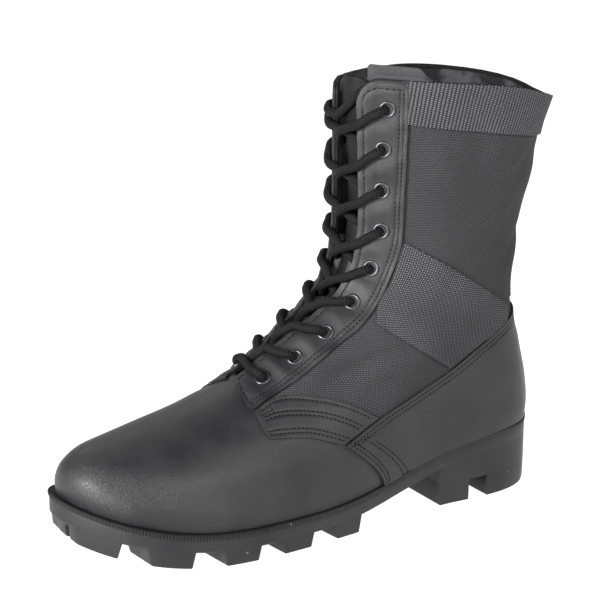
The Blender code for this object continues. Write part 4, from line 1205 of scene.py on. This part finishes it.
ribs = int(around / tread["ribPitch"])
turns, around = evenPlan(ribs * 6)
phase = np.tile(np.arange(6) / 6, ribs)
profile = ((-3.5, 0.05, 0.0), (1.2, 0.05, 0.3), (1.95, 0.0, 1.0), (2.3, -0.35, 1.0), (2.4, -1.1, 1.0),
           (2.35, -2.0, 0.9), (2.1, -2.8, 0.3), (1.2, -3.0, 0.0), (-3.5, -3.0, 0.0))
sections = []
for outset, down, cut in profile:
    plan = planAt(turns, np.full(len(turns), outset * mm))
    fade = smoothStep((plan[:, 0] - 0.075) / 0.04)
    groove = (0.5 + 0.5 * np.cos(2 * math.pi * phase)) ** 1.5 * cut * fade * tread["ribDepth"]
    plan = planAt(turns, outset * mm - groove)
    sections.append(np.column_stack([plan, soleTop(plan[:, 0]) + down * mm - groove * 0.5]))
weltMesh = loops("outsole_welt", sections, weltRubber, closed=True)
solePieces.append(weltMesh)


def lugOutline(rear, front, side, shares, slant, outset):
    t = np.linspace(0, 1, 9)
    x = rear + (front - rear) * t
    outline = []
    for share, order in ((shares[1], 1), (shares[0], -1)):
        at = x - slant * np.abs(edgeAt(x, side, outset)) * share
        outline.append(np.column_stack([at, share * edgeAt(at, side, outset)])[::order])
    return np.concatenate(outline)


def block(name, low, high, footZ, topZ, bevel=tread["edge"]):
    middle = (low + high) / 2
    sections = [np.column_stack([high, topZ(high[:, 0])]),
              np.column_stack([middle, (footZ(middle[:, 0]) + topZ(middle[:, 0])) / 2]),
              np.column_stack([low, footZ(low[:, 0])])]
    solePieces.append(loops(name, sections, rubber, bevel=bevel))


def intoSlab(x):
    return slabBottom(x) + 3 * mm


def barFoot(x):
    return treadLevel(x) + tread["lugDepth"] - tread["barDepth"]


taper = tread["taper"]
for row, (rear, front) in enumerate(tread["rows"]):
    rear, front = rear * form["bootLength"], front * form["bootLength"]
    for side in (1, -1):
        reach, slant = tread["sideLug"], tread["slant"]
        low = lugOutline(rear, front, side, (reach + 0.05, 1.0), slant, 1.4 * mm)
        high = lugOutline(rear - taper, front + taper * 1.2, side, (reach, 1.0), slant, 2.0 * mm)
        block("lug_%d_%s" % (row + 1, "outer" if side > 0 else "inner"), low, high, treadLevel, intoSlab)
    halves = []
    for grow in (0.0, taper * 1.4):
        cuts = []
        for x, order in ((rear + 1.5 * mm - grow, 1), (front - 1.5 * mm + grow, -1)):
            share = np.linspace(-0.52, 0.52, 9)
            wide = np.where(share < 0, -1, 1)
            edgeY = np.array([edgeAt(np.array([x]), w, 1.4 * mm)[0] for w in wide])
            at = x - tread["slant"] * np.abs(edgeY * share)
            cuts.append(np.column_stack([at, np.abs(share) * edgeY])[::order])
        halves.append(np.concatenate(cuts))
    block("bar_%d" % (row + 1), halves[0], halves[1], barFoot, intoSlab)
rear, front = (share * form["bootLength"] for share in tread["toeRow"])
for word, side in (("outer", 1), ("inner", -1), ("middle", 1)):
    if word == "middle":
        corners = [(rear, -6 * mm), (rear, 6 * mm), (front, 5 * mm), (front, -5 * mm)]
        low = np.array(corners) + (0, -form["toeSwing"])
        high = low + np.array([(-taper, -mm), (-taper, mm), (taper, mm), (taper, -mm)])
    else:
        low = lugOutline(rear, front, side, tread["toeLug"], tread["toeSlant"], 1.4 * mm)
        high = lugOutline(rear - taper, front + 1.0 * mm, side, tread["toeLug"], tread["toeSlant"], 2.0 * mm)
    block("toe_lug_" + word, low, high, treadLevel, intoSlab)


def heelOutline(rear, front, outset):        # the sole's outline between two cuts across it
    turns = np.linspace(0, 2 * math.pi, 1601)[:-1]
    plan = planAt(turns, np.full(1600, outset))
    inside = plan[(plan[:, 0] > rear) & (plan[:, 0] < front)]
    outerSide = inside[inside[:, 1] > 0]
    innerSide = inside[inside[:, 1] <= 0]
    sideLines = []
    for line in (outerSide[np.argsort(-outerSide[:, 0])], innerSide[np.argsort(innerSide[:, 0])]):
        run = runAlong(line)
        sideLines.append(placeAlong(run, line, np.linspace(0, run[-1], 40)))
    return np.concatenate([sideLines[0], sideLines[1][1:]] if rear < 0 else sideLines)


behind = -0.05
first, second = tread["notch"]
split, length = tread["notchDepth"], tread["heelLength"]
parts = (("heel_rear", behind, first), ("heel_front", second, length), ("heel_body", behind, length))
for name, rear, front in parts:
    isBody = name == "heel_body"
    footLine = heelOutline(rear, front, 1.9 * mm if isBody else 1.6 * mm)
    topLine = heelOutline(rear, front, 1.9 * mm)
    if isBody:
        block(name, footLine, topLine, lambda x: 0 * x + split, intoSlab, bevel=0.0)
    else:
        block(name, footLine, topLine, lambda x: 0 * x, lambda x: 0 * x + split + mm)
deselect()
for piece in solePieces:
    if piece is not weltMesh:
        piece.select_set(True)
bpy.context.view_layer.objects.active = slabMesh
bpy.ops.object.join()
slabMesh.name = "outsole_rubber"
finishPiece(slabMesh, ["outsole"])
finishPiece(weltMesh, [])
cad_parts["insole"].data.materials.clear()
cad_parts["insole"].data.materials.append(liningCloth)
print("sole made")

low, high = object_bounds()
